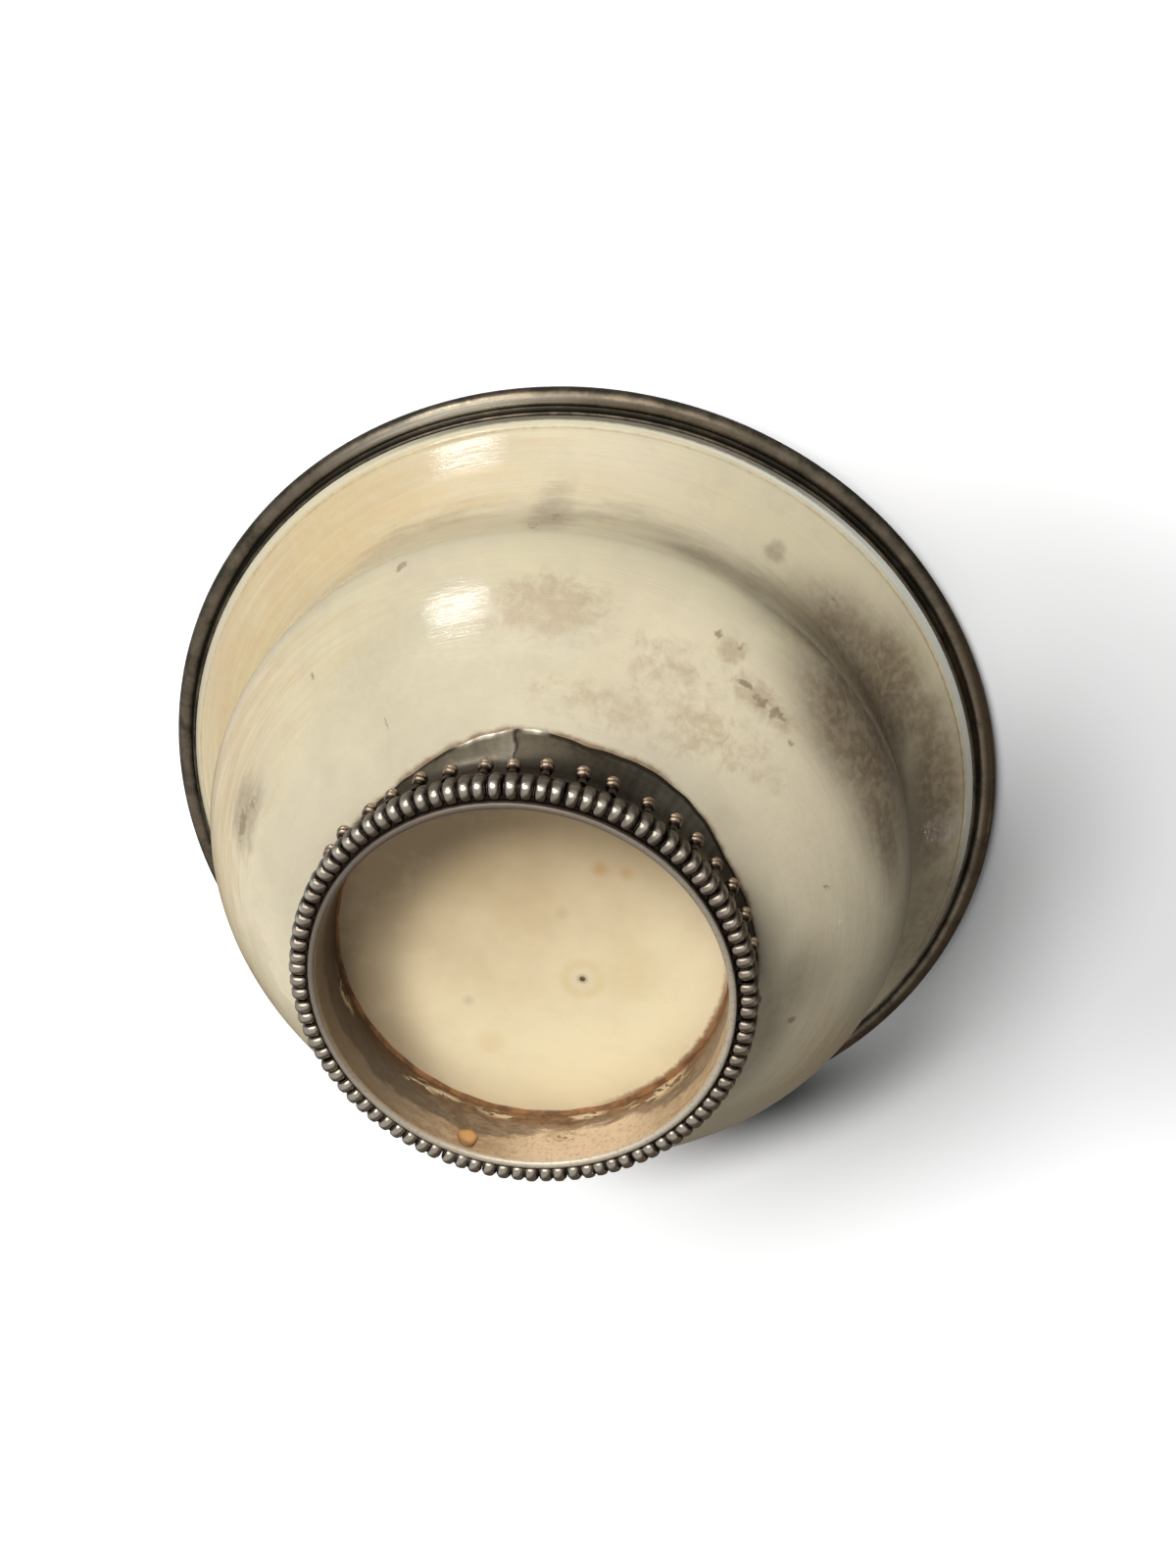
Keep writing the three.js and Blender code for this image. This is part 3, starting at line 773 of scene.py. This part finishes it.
def make_lining():
    """The sheet inside the bone, with a soft bend where it turns out over the lip."""
    points, slopes = bowl_curve(40)
    outside = beside(points, slopes, -BONE_WALL - GAP)
    inside = beside(points, slopes, -BONE_WALL - GAP - LINING_SHEET)
    under_flange = flange_top - LINING_SHEET
    outside = outside[outside[:, 1] < under_flange - 0.5]
    inside = inside[inside[:, 1] < flange_top - 1.0]
    brim = inside[-1]
    bend, _ = cubic(brim, FLARE_SLOPE + 25, (brim[0] + 2.2, flange_top), 0, 8)
    profile = np.vstack([
        [(r, outside[0][1]) for r in np.linspace(2, outside[0][0] - 1, 6)],
        outside,
        [(outside[-1][0] + 1.2, under_flange), (flange_radius, under_flange), (flange_radius, flange_top)],
        bend[::-1],
        inside[::-1][1:],
        [(r, inside[0][1]) for r in np.linspace(inside[0][0] - 1, 1.5, 14)],
    ])
    angles, grid = polar_grid(profile)
    along = np.arange(len(profile))[:, None] * 0.9
    inner = np.arange(len(profile)) > len(outside) + 12
    push_out(grid, angles, LINING_DENTS * hand_made(angles, along, 4.0, 8) * inner[:, None])
    poles = [(0, 0, outside[0][1]), (0, 0, inside[0][1])]
    lining = solid_of_rings("lining", grid, poles, 45)
    # Darker towards the bottom of the bowl
    paint(lining, "tarnish_and_painted_shade", np.clip((24 - grid[..., 2]) / 14, 0, 1) * 0.5)
    dress(lining, lining_finish(), "lining_silver", "silver_lining")


def make_rim():
    """The rolled moulding: a narrow fillet beside the bone, a dark cove and a round roll."""
    back = bevel_radius + 0.06
    cove = (back + FILLET_WIDTH * 0.7, rim_bottom + 0.66)
    centre = (rim_radius - ROLL_WIDTH, bone_top + ROLL_RISE)
    fillet = round_corner((back + FILLET_WIDTH * 0.06, rim_bottom - 0.02), 0.3, -170, 30, 9)
    roll_angles = np.linspace(-124, 140, 40)
    roll_height = ROLL_RADIUS - 0.004
    roll = [(centre[0] + ROLL_WIDTH * c, centre[1] + roll_height * s) for c, s in map(heading, roll_angles)]
    lip = flange_radius - 0.9
    before_roll = np.vstack([[(back, rim_bottom + 0.5)], fillet, [cove]])
    profile = np.vstack([
        before_roll,
        roll,
        [(lip + 0.1, flange_top + 0.55), (lip, flange_top + 0.3), (lip + 0.1, flange_top + 0.06)],
        [(flange_radius + 0.1, flange_top + 0.06), (flange_radius + 0.1, bone_top), (back, bone_top)],
    ])
    angles, grid = polar_grid(profile, 480)
    rolled = slice(len(before_roll), len(before_roll) + len(roll))
    along = np.arange(len(profile))[:, None] * 0.4
    dents = -RIM_DENTS * (1 + hand_made(angles, along, 2.5, 5))
    push_out(grid[rolled], angles, dents[rolled])
    rim = solid_of_rings("rim_moulding", grid, None, 35)
    # Tarnish and painted shade: darkest at the fillet and cove, light on the roll's underside, dark on its
    # outer side, and less dark round azimuth -30 as painted light
    tarnish_and_painted_shade = np.full(len(profile), 0.4)
    tarnish_and_painted_shade[:len(before_roll)] = (1.0, 0.9, 0.75, 0.6, 0.5, 0.45, 0.5, 0.65, 0.8, 0.9, 0.9)
    tarnish_and_painted_shade[rolled] = np.interp(
        roll_angles, (-124, -112, -98, -66, -40, -10, 35, 60), (0.8, 0.45, 0.1, 0.1, 0.5, 0.8, 0.8, 0.2))
    azimuths = azimuths_of(angles)
    paint(rim, "tarnish_and_painted_shade", tarnish_and_painted_shade[:, None] - 0.45 * np.exp(-((azimuths + 30) / 28) ** 2))
    # Painted highlight on the roll's underside round azimuth -121
    painted_light_area = np.zeros(len(profile))
    painted_light_area[rolled] = np.exp(-((roll_angles + 86) / 20) ** 2)
    paint(rim, "painted_highlight", painted_light_area[:, None] * np.exp(-((azimuths + 121) / 14) ** 2))
    dress(rim, rim_finish(), "tarnished_silver", "rim_band")


def make_foot():
    """The foot ring with its worn rounded lip."""
    wall = foot_radius + FOOT_WALL
    lip = [
        (foot_radius - 0.01, 0.5), (foot_radius + 0.05, 0.22), (foot_radius + 0.2, 0.06),
        (foot_radius + 0.4, 0.0), (lip_radius - 0.35, 0.0), (lip_radius - 0.13, 0.07),
        (lip_radius - 0.02, 0.25), (lip_radius, 0.5), (lip_radius - 0.02, 0.72), (lip_radius - 0.13, 0.9),
        (wall, 1.15),
    ]
    top = foot_radius - FOOT_TAPER
    outer = [(wall - FOOT_TAPER * h, h * foot_height) for h in np.linspace(0.2, 1, 8)]
    inner = [(top + FOOT_TAPER * h, foot_height * (1 - h)) for h in np.linspace(0, 0.93, 40)]
    profile = np.vstack([lip, outer, inner])
    angles, grid = polar_grid(profile)
    along = profile[:, 1:]
    is_inner = (np.arange(len(profile)) >= len(lip) + len(outer))[:, None]
    shape = hand_made(angles, along, 2.2, 12) * FOOT_DENTS * is_inner
    worn = hand_made(angles, along, 1.5, 13) * LIP_WEAR * ~is_inner * (along > 0.01)
    push_out(grid, angles, shape + worn)
    foot = solid_of_rings("foot_tube", grid, None, 45)
    paint(foot, "flaky", blotches(angles, grid[..., 2], foot_radius, FLAKES, 1.6, 1.3) * is_inner)
    dress(foot, foot_finish(), "gilt_silver", "foot_ring")


def make_lac():
    """The lac that fills the corner inside the foot, uneven as it was pressed in."""
    outer = foot_radius - FOOT_TAPER - 0.02
    angles = full_turn(SIDES)[None, :]
    wide = 0.28 + 0.12 * hand_made(angles, np.zeros((1, 1)), 1.0, 21) + 0.05 * np.sin(31 * angles)
    tall = 0.75 + 0.3 * hand_made(angles, np.zeros((1, 1)), 1.0, 22) + 0.1 * np.sin(23 * angles + 1)
    wide, tall = np.clip(wide, 0.12, 1), np.clip(tall, 0.35, 1.6)
    ceiling = base_height - 0.02
    share = np.linspace(0, 1, 9)[:, None]
    r = outer - wide * (1 - share) ** 1.6
    z = ceiling - tall * share**1.6
    r = np.vstack([r, outer + 0 * wide])
    z = np.vstack([z, ceiling + 0 * tall])
    grid = np.stack([r * np.cos(angles), r * np.sin(angles), z], -1)
    lac = joined(solid_of_rings("lac_seam", grid[::-1], None, 50), lac_drop())
    dress(lac, lac_finish(), "lac", "foot_lac")


def lac_drop():
    """A flat drop that ran down the inside of the foot and set, thin in its middle."""
    azimuth, height, half_width, half_height, thick = math.radians(93.5), 2.8, 1.45, 1.75, 0.34
    inward = np.array([-math.cos(azimuth), -math.sin(azimuth), 0])
    across = np.array([-math.sin(azimuth), math.cos(azimuth), 0])
    theta = full_turn(40)
    ragged = 1 + 0.06 * np.sin(3 * theta + 1) + 0.04 * np.sin(5 * theta)
    centre = -inward * (foot_radius - 0.05) + np.array([0, 0, height])
    rings = []
    for share, rise in zip((1.0, 1.0, 0.93, 0.8, 0.6, 0.4, 0.2), (-0.12, 0.1, 0.55, 0.9, 1.0, 0.92, 0.85)):
        u = share * ragged * half_width * np.cos(theta)
        v = share * ragged * half_height * np.sin(theta)
        bend = foot_radius - np.sqrt(foot_radius**2 - u**2)
        flat = centre + np.outer(u, across) + np.outer(v, (0, 0, 1))
        rings.append(flat + np.outer(bend + rise * thick, inward))
    grid = np.array(rings)
    poles = [grid[0].mean(0), grid[-1].mean(0)]
    drop = solid_of_rings("lac_drop", grid, poles, 60)
    paint(drop, "thin", np.append(np.repeat([0, 0, 0.1, 0.4, 0.8, 1, 1], len(theta)), [0, 1]))
    return drop


def collar_edge(angles):
    """Radius of the collar's cut edge, a smooth closed curve through its widths, with small hand cuts."""
    widths = np.array(COLLAR_EDGE)
    place = (np.asarray(angles) % (2 * math.pi)) / (2 * math.pi) * len(widths)
    first = np.floor(place).astype(int)
    t = place - first
    p0, p1, p2, p3 = (widths[(first + k) % len(widths)] for k in (-1, 0, 1, 2))
    smooth = 0.5 * (2 * p1 + (p2 - p0) * t + (2 * p0 - 5 * p1 + 4 * p2 - p3) * t**2
                    + (3 * p1 - p0 - 3 * p2 + p3) * t**3)
    return collar_face + smooth + 0.06 * np.sin(41 * angles) * np.sin(7 * angles)


def collar_line():
    """The middle of the collar's sheet in (r, z): upright round the foot, then out along the bone."""
    middle = lip_radius + COLLAR_SHEET / 2
    hugging = beside(*bowl_curve(64), 0.08 + COLLAR_SHEET / 2)
    start = base_height - SPREAD_DROP
    reach = hugging[np.searchsorted(hugging[:, 0], collar_face + max(COLLAR_EDGE) + 0.9)]
    spread, _ = cubic((middle, start), 90, reach, BASE_SLOPE + 10, 60)
    over_bone = np.interp(spread[:, 0], hugging[:40, 0], hugging[:40, 1], left=99)
    spread[:, 1] = np.minimum(spread[:, 1], over_bone)
    upright = [(middle, z) for z in np.linspace(finial_bottom - 0.1, start, 8)[:-1]]
    return np.vstack([upright, spread])


def make_collar():
    """The skirt round the foot that spreads against the bone, dented, split at a seam and cut by hand."""
    line = collar_line()
    angles = full_turn(720)
    share = np.linspace(0, 1, 30)
    rows = len(share)
    length = np.concatenate([[0], np.cumsum(np.hypot(*np.diff(line, axis=0).T))])
    end = np.interp(collar_edge(angles), line[:, 0] + np.arange(len(line)) * 1e-6, length)
    at = share[:, None] * end[None, :]
    r = np.interp(at, length, line[:, 0])
    z = np.interp(at, length, line[:, 1])
    slope_r, slope_z = np.gradient(r, axis=0), np.gradient(z, axis=0)
    norm = np.hypot(slope_r, slope_z)
    out_r, out_z = slope_z / norm, -slope_r / norm
    past = wrapped(angles - math.radians(SEAM_AZIMUTH) + 0.007 * np.sin(at * 2.2))
    lap = np.where((past > 0) & (past < 0.5), COLLAR_LAP * np.clip(1 - past / 0.5, 0, 1), 0)
    dents = COLLAR_DENTS * hand_made(angles[None, :], at, 1.7, 33) + lap
    thickness = np.full_like(r, COLLAR_SHEET / 2)
    thickness[-1] *= 0.55
    lower = (r + out_r * (thickness + dents), z + out_z * (thickness + dents))
    upper = (r + out_r * (dents * 0.3 - thickness), z + out_z * (dents * 0.3 - thickness))
    ring_r = np.vstack([lower[0], upper[0][::-1]])
    ring_z = np.vstack([lower[1], upper[1][::-1]])
    grid = np.stack([ring_r * np.cos(angles), ring_r * np.sin(angles), ring_z], -1)
    collar = solid_of_rings("collar_sheet", grid, None, 55)
    azimuths = azimuths_of(angles)
    # Painted highlight on the cut edge at two places; the rest of the edge gets painted shade below
    highlit_edge = np.clip(1.5 - np.abs(azimuths + 115.5) / 5.5, 0, 1)
    highlit_edge = np.maximum(highlit_edge, np.clip(1.5 - np.abs(azimuths + 103) / 2.5, 0, 1))
    before_seam = (past < 0) * np.clip(1 + past / 0.5, 0, 1)
    painted_highlight = np.zeros_like(ring_r)
    painted_highlight[rows - 2:rows + 1] = np.array([0.25, 1, 1])[:, None] * highlit_edge
    flat = slice(0, rows - 2)
    # A little lighter on the flap before the seam, painted light on a band further past it, and a painted
    # highlight on the flap's edge
    painted_highlight[flat] = 0.03 * before_seam[flat]
    painted_highlight[flat] += 0.1 * np.clip(1 - np.abs(past[flat] - 1.0) / 0.7, 0, 1)
    painted_highlight[12:rows - 2] += 0.03 * ((past[12:rows - 2] < 0) & (past[12:rows - 2] > -0.09))
    paint(collar, "painted_highlight", painted_highlight * (0.75 + 0.4 * np.sin(1.7 * azimuths) * np.sin(0.6 * azimuths)))
    # Darker along the seam and where the skirt rises by the foot, lighter on the flap before the seam,
    # painted shade on the band just past the seam and on the cut edge away from the highlight
    tarnish_and_painted_shade = np.zeros_like(ring_r)
    tarnish_and_painted_shade[:rows] += 0.9 * np.exp(-(past / 0.009) ** 2) + 0.5 * np.clip(1 - share / 0.35, 0, 1)[:, None]
    tarnish_and_painted_shade[:rows] -= 0.3 * before_seam
    tarnish_and_painted_shade[:rows] += 0.6 * np.clip(1 - np.abs(past - 0.4) / 0.45, 0, 1)
    tarnish_and_painted_shade[rows - 2:rows] += 0.6 * (1 - highlit_edge)
    paint(collar, "tarnish_and_painted_shade", tarnish_and_painted_shade)
    dress(collar, collar_finish(), "collar_silver", "foot_collar")


def bead_shape():
    """One bead, lying along +Y: a full barrel with a low ring at each end, with painted shade on its upper
    side.
    """
    half = [
        (0.0, 1.0), (0.22, 0.992), (0.42, 0.965), (0.57, 0.92), (0.68, 0.855), (0.75, 0.775), (0.775, 0.75),
        (0.80, 0.775), (0.85, 0.77), (0.89, 0.70), (0.96, 0.6),
    ]
    stations = [(-y, s) for y, s in reversed(half[1:])] + half
    theta = full_turn(20)
    squared = 2 / 2.9
    x = np.sign(np.cos(theta)) * np.abs(np.cos(theta)) ** squared * BEAD_DEPTH / 2
    z = np.sign(np.sin(theta)) * np.abs(np.sin(theta)) ** squared * (bead_top - bead_bottom) / 2
    grid = np.array([[(x[j] * s, y, z[j] * s) for j in range(len(theta))] for y, s in stations])
    ends = [(0, stations[0][0], 0), (0, stations[-1][0], 0)]
    bead = solid_of_rings("bead_shape", grid[:, ::-1], ends, 50)
    wide = [s for _, s in stations]
    groove = [0.0 if s > 0.88 else 0.3 if s > 0.8 else 1.0 if s < 0.7 else 0.5 for s in wide]
    groove = np.array(groove)[:, None]
    # Tarnish in the grooves, and painted shade on the upper side
    upper = np.clip(grid[:, ::-1, 2] * 0.9 - 0.3, 0, 1)
    paint(bead, "tarnish_and_painted_shade", np.maximum(groove, upper))
    # Painted shade on the outer side, used only towards -Y
    paint(bead, "outer", np.clip(grid[:, ::-1, 0] * 1.1 - 0.35, 0, 1))
    # Painted highlight along the middle of the lower outer side
    middle = np.array([1.0 if abs(y) < 0.3 else 0.5 if abs(y) < 0.5 else 0.0 for y, _ in stations])[:, None]
    around = np.degrees(theta)[None, ::-1]
    paint(bead, "painted_highlight", 0.9 * middle * np.exp(-((around - 305) / 24) ** 2))
    # Painted light on the underside, used only towards +Y
    paint(bead, "under", (groove < 0.4) * np.exp(-((around - 265) / 45) ** 2))
    return bead


def finial_shape():
    """One knob standing on +Z: foot, stem, two rings and a low dome."""
    tall = finial_top - finial_bottom
    outline = [
        (0.60, 0.0), (0.64, 0.1), (0.60, 0.22), (0.44, 0.30), (0.42, 0.38), (0.60, 0.44), (0.92, 0.475),
        (0.98, 0.51), (0.93, 0.55), (0.66, 0.59), (0.64, 0.63), (0.90, 0.66), (1.0, 0.70), (1.0, 0.75),
        (0.93, 0.82), (0.76, 0.89), (0.5, 0.955), (0.22, 0.99),
    ]
    profile = [(r * CAP_RADIUS, z * tall) for r, z in outline]
    _, grid = polar_grid(profile, 20)
    knob = solid_of_rings("finial_shape", grid, [(0, 0, 0), (0, 0, tall)], 50)
    # Darker stems below the caps with tarnish and painted shade, lighter cap rims
    tarnish_and_painted_shade = [1.0 if r < 0.67 and z < 0.9 else -0.3 if r > 0.9 else 0.2 for r, z in outline]
    paint(knob, "tarnish_and_painted_shade", np.array(tarnish_and_painted_shade)[:, None] * np.ones(20))
    return knob


def ring_of_pieces_tree():
    """Nodes that set a copy of a piece on each point, facing out from the axis and a little uneven."""
    tree = bpy.data.node_groups.new("ring_of_pieces", "GeometryNodeTree")
    sockets = {}
    for name, kind in (
        ("Places", "Geometry"), ("Piece", "Object"), ("Lean", "Float"), ("Uneven size", "Float"),
        ("Seed", "Int"), ("Finish", "Material"),
    ):
        sockets[name] = tree.interface.new_socket(name, in_out="INPUT", socket_type="NodeSocket" + kind)
    tree.interface.new_socket("Geometry", in_out="OUTPUT", socket_type="NodeSocketGeometry")
    n = Nodes(tree)
    given = tree.nodes.new("NodeGroupInput").outputs

    def uneven(width, seed_shift):
        """A vector whose parts lie within plus or minus a width."""
        draw = n.add("FunctionNodeRandomValue", (-1, -1, -1), (1, 1, 1), data_type="FLOAT_VECTOR",
                     Seed=n.plus(given["Seed"], seed_shift))
        return n.add("VectorMath", draw, operation="SCALE", Scale=width)

    x, y, _ = n.parts(n.add("GeometryNodeInputPosition"))
    facing = n.add("CombineXYZ", Z=n.math("ARCTAN2", y, x))
    turned = n.vector("ADD", facing, uneven(given["Lean"], 0))
    size = n.vector("ADD", uneven(given["Uneven size"], 5), (1, 1, 1))
    piece = n.add("GeometryNodeObjectInfo", out="Geometry", Object=given["Piece"])
    copies = n.add("GeometryNodeInstanceOnPoints", Points=given["Places"], Instance=piece,
                   Rotation=turned, Scale=size)
    real = n.add("GeometryNodeRealizeInstances", copies)
    dressed = n.add("GeometryNodeSetMaterial", Geometry=real, Material=given["Finish"])
    n.put(dressed, tree.nodes.new("NodeGroupOutput").inputs[0])
    return tree, sockets


def ring_of_pieces(name, tree, sockets, azimuths, radius, height, **values):
    """A plain mesh of the copies that the nodes make at azimuths in degrees on a circle."""
    angles = np.radians(azimuths)
    places = np.stack([radius * np.cos(angles), radius * np.sin(angles), np.full(len(angles), height)], 1)
    mesh = bpy.data.meshes.new(name)
    mesh.from_pydata((places * MM).tolist(), [], [])
    carrier = placed(name, mesh)
    modifier = carrier.modifiers.new("ring", "NODES")
    modifier.node_group = tree
    for key, value in values.items():
        modifier[sockets[key.replace("_", " ")].identifier] = value
    bpy.context.view_layer.update()
    seen = carrier.evaluated_get(bpy.context.evaluated_depsgraph_get())
    copies = bpy.data.meshes.new_from_object(seen)
    carrier.modifiers.clear()
    carrier.data = copies
    return carrier


def joined(first, second):
    """The first object with the second one's mesh added to it."""
    with bpy.context.temp_override(active_object=first, selected_editable_objects=[first, second]):
        bpy.ops.object.join()
    return first


def seat_ring(name, profile, tarnish_and_painted_shade):
    """A plain ring that carries repeated pieces."""
    _, grid = polar_grid(profile, 240)
    ring = solid_of_rings(name, grid, None, 40)
    paint(ring, "tarnish_and_painted_shade", np.full(len(ring.data.vertices), tarnish_and_painted_shade))
    return ring


# How far knobs stand from their even places round the foot, in degrees, by number from +X
FINIAL_SLIPS = {
    29: -0.1, 30: 1.1, 31: 0.2, 32: 0.0, 33: 0.9, 34: 0.3, 35: 1.8, 36: 1.2, 37: 0.5, 38: 0.3, 39: -0.3,
    3: 0.8, 8: -0.9, 12: 0.6, 17: -0.5, 21: 0.9, 25: -0.7,
}


def make_beads_and_finials():
    tree, sockets = ring_of_pieces_tree()
    metal, brighter = bead_finish(), knob_finish()
    bead, knob = bead_shape(), finial_shape()
    centre = (bead_bottom + bead_top) / 2
    draw = np.random.default_rng(6)
    bead_azimuths = 360 / BEAD_COUNT * (np.arange(BEAD_COUNT) - 0.2 + draw.uniform(-0.07, 0.07, BEAD_COUNT))
    beads = ring_of_pieces(
        "beads", tree, sockets, bead_azimuths, lip_radius + BEAD_DEPTH / 2 - 0.06, centre,
        Piece=bead, Lean=0.04, Uneven_size=0.025, Seed=4, Finish=metal)
    core = [(lip_radius - 0.22, centre - 1.2), (lip_radius + 0.6, centre - 1.2), (lip_radius + 1.1, centre),
            (lip_radius + 0.6, centre + 1.2), (lip_radius - 0.22, centre + 1.2)]
    beads = joined(beads, seat_ring("bead_core", core, 1.0))
    dress(beads, metal, "tarnished_silver", "beaded_wire")
    finial_azimuths = 360 / FINIAL_COUNT * np.arange(FINIAL_COUNT)
    for number, slip in FINIAL_SLIPS.items():
        finial_azimuths[number] += slip
    stand = collar_face + GAP + CAP_RADIUS
    knobs = ring_of_pieces(
        "finials", tree, sockets, finial_azimuths, stand, finial_bottom,
        Piece=knob, Lean=0.1, Uneven_size=0.04, Seed=9, Finish=brighter)
    rail = [(collar_face - 0.02, finial_bottom), (stand, finial_bottom), (stand + 0.1, finial_bottom + 0.3),
            (stand, finial_bottom + 0.6), (collar_face - 0.02, finial_bottom + 0.6)]
    knobs = joined(knobs, seat_ring("finial_rail", rail, 0.9))
    dress(knobs, brighter, "tarnished_silver", "finial_gallery")
    for shape in (bead, knob):
        bpy.data.objects.remove(shape)


def make_camera():
    place, aim = Vector(CAMERA_PLACE) * MM, Vector(CAMERA_AIM) * MM
    data = bpy.data.cameras.new("camera")
    data.lens = CAMERA_LENS
    data.sensor_width = data.sensor_height = SENSOR_HEIGHT
    data.clip_start = 0.01
    camera = placed("camera", data)
    facing = (aim - place).to_track_quat("-Z", "Y").to_matrix()
    roll = Matrix.Rotation(math.radians(CAMERA_ROLL), 3, "Z")
    camera.matrix_world = Matrix.Translation(place) @ (facing @ roll).to_4x4()
    bpy.context.scene.camera = camera


def lamp(name, towards, distance, width, strength, height=None, reflected=False):
    """A soft lamp that lights the cup, or is only reflected in it. Strength 1 shows white as white."""
    data = bpy.data.lights.new(name, "AREA")
    data.shape = "ELLIPSE"
    data.size = width
    data.size_y = height or width
    data.energy = strength * (math.pi * distance) ** 2
    obj = placed(name, data)
    direction = Vector(towards).normalized()
    obj.location = Vector((0, 0, LAMP_AIM)) + direction * distance
    obj.rotation_mode = "QUATERNION"
    obj.rotation_quaternion = direction.to_track_quat("Z", "Y")
    obj.visible_glossy = reflected
    if reflected:
        obj.visible_diffuse = obj.visible_camera = False


def make_lamps():
    lamp("window", WINDOW, 0.8, 0.42, 0.9)
    lamp("front", (0.05, 0.4, -0.91), 0.8, 0.6, 0.3)
    lamp("behind", (-0.45, 0.75, 0.48), 0.9, 0.6, 1.3)
    lamp("glint_window", (-0.102, -0.120, -0.032), 0.161, 0.042, 0.15, height=0.012, reflected=True)
    lamp("glint_right", (0.95, 0.25, -0.165), 0.8, 0.007, 0.004, height=0.02, reflected=True)


def make_world():
    """Soft light from all round, and a white background for the camera and in reflections."""
    world = bpy.data.worlds.new("studio")
    world.use_nodes = True
    n = Nodes(world.node_tree)
    path = n.add("LightPath").node.outputs
    seen = path["Is Camera Ray"]
    for other in ("Is Glossy Ray", "Is Transmission Ray"):
        seen = n.math("MAXIMUM", seen, path[other])
    soft = n.add("Background", WHITE, SOFT_LIGHT)
    white = n.add("Background", WHITE, 1.0)
    n.show(n.add("MixShader", seen, soft, white), "OutputWorld")
    bpy.context.scene.world = world


def bare_material(name):
    """A material, and the calls that fill its node tree."""
    material = bpy.data.materials.new(name)
    material.use_nodes = True
    return material, Nodes(material.node_tree)


def make_surroundings():
    """What the surfaces reflect: a pale room, a dark drape at the far right and a wide window."""
    bpy.ops.mesh.primitive_uv_sphere_add(segments=48, ring_count=24, radius=ROOM_RADIUS)
    room = bpy.context.object
    room.name = "surroundings"
    room.visible_camera = room.visible_diffuse = room.visible_transmission = room.visible_shadow = False
    material, n = bare_material("surroundings")
    place = n.add("TexCoord", out="Object")

    def share(towards, first, last, least=0.0):
        """From the least to 1 where the cosine of the angle to a direction goes from first to last."""
        unit = tuple(Vector(towards).normalized() / ROOM_RADIUS)
        return n.step(n.vector("DOT_PRODUCT", place, unit, out="Value"), first, last, least)

    clear = n.add("BsdfTransparent")
    cloth = n.add("Emission", CLOTH_TONE)
    drape = n.add("MixShader", share(DRAPE, -0.1, 0.35, 0.45), clear, cloth)
    brightness = n.times(share(WINDOW, 0.8, 0.96), WINDOW_BRIGHTNESS)
    window = n.add("Emission", WINDOW_TONE, brightness)
    n.show(n.add("AddShader", drape, window))
    room.data.materials.append(material)


def make_floor(name, height, facing, glow, shaded=(), glow_free=None):
    """A white floor that only the camera sees, and only from its front, to carry the cup's shadow.

    It fades out towards its edge. The paper is darker in ellipses of painted shadow. It glows, but not in
    the last of them and in one more. Each has its centre, half its length and width in mm, its turn in
    degrees, the share of its middle that is even, and how much it takes away.
    """
    corners = ((-1, -1), (1, -1), (1, 1), (-1, 1))
    mesh = bpy.data.meshes.new(name)
    points = [(a * FLOOR_HALF, b * FLOOR_HALF, height * MM) for a, b in corners]
    mesh.from_pydata(points, [], [(0, 1, 2, 3)])
    if facing == "down":
        mesh.flip_normals()
    floor = placed(name, mesh)
    floor.visible_diffuse = floor.visible_glossy = floor.visible_transmission = floor.visible_shadow = False
    material, n = bare_material(name)
    place = n.add("TexCoord", out="Object")

    def left_by(ellipse):
        """What an ellipse leaves: 1 outside it, and less towards its middle."""
        (x, y), half_length, half_width, turn, even, taken = ellipse
        fitted = n.add("Mapping", place, vector_type="TEXTURE",
                       Location=(x * MM, y * MM, height * MM), Rotation=(0, 0, math.radians(turn)),
                       Scale=(half_length * MM, half_width * MM, 1))
        return n.step(n.vector("LENGTH", fitted, out="Value"), even, 1.0, 1.0 - taken)

    if glow_free:
        glow = n.times(left_by(shaded[-1]), left_by(glow_free), glow)
    tone = n.times(*map(left_by, shaded)) if shaded else PAPER_TONE
    paper = n.add("BsdfDiffuse", tone)
    lit = n.add("AddShader", paper, n.add("Emission", Strength=glow))
    behind = n.add("NewGeometry", out="Backfacing")
    faded = n.step(n.vector("LENGTH", place, out="Value"), FLOOR_FADES_FROM, FLOOR_HALF)
    unseen = n.math("MAXIMUM", behind, faded)
    n.show(n.add("MixShader", unseen, lit, n.add("BsdfTransparent")))
    mesh.materials.append(material)


def make_floors():
    """The cup stands mouth down on one floor, as photographed. The other floor is for views from above."""
    make_floor(
        "floor_at_rim", bone_top + ROLL_RISE + ROLL_RADIUS + 0.05, "down", RIM_FLOOR_GLOW,
        # Two ellipses of painted shadow darken the paper beside the cup
        shaded=[((58.6, -3.7), 31.3, 42.9, 0, 0, 0.52), ((42.0, 46.5), 38, 13, -45, 0, 0.95)],
        glow_free=((54.7, -10.7), 107, 89, 0, 0.32, 1.0))
    make_floor("floor_at_foot", -0.2, "up", FOOT_FLOOR_GLOW)


make_camera()
make_bone_bowl()
make_lining()
make_rim()
make_foot()
make_lac()
make_collar()
make_beads_and_finials()
make_world()
make_lamps()
make_surroundings()
make_floors()
bpy.context.scene.view_settings.view_transform = "Standard"
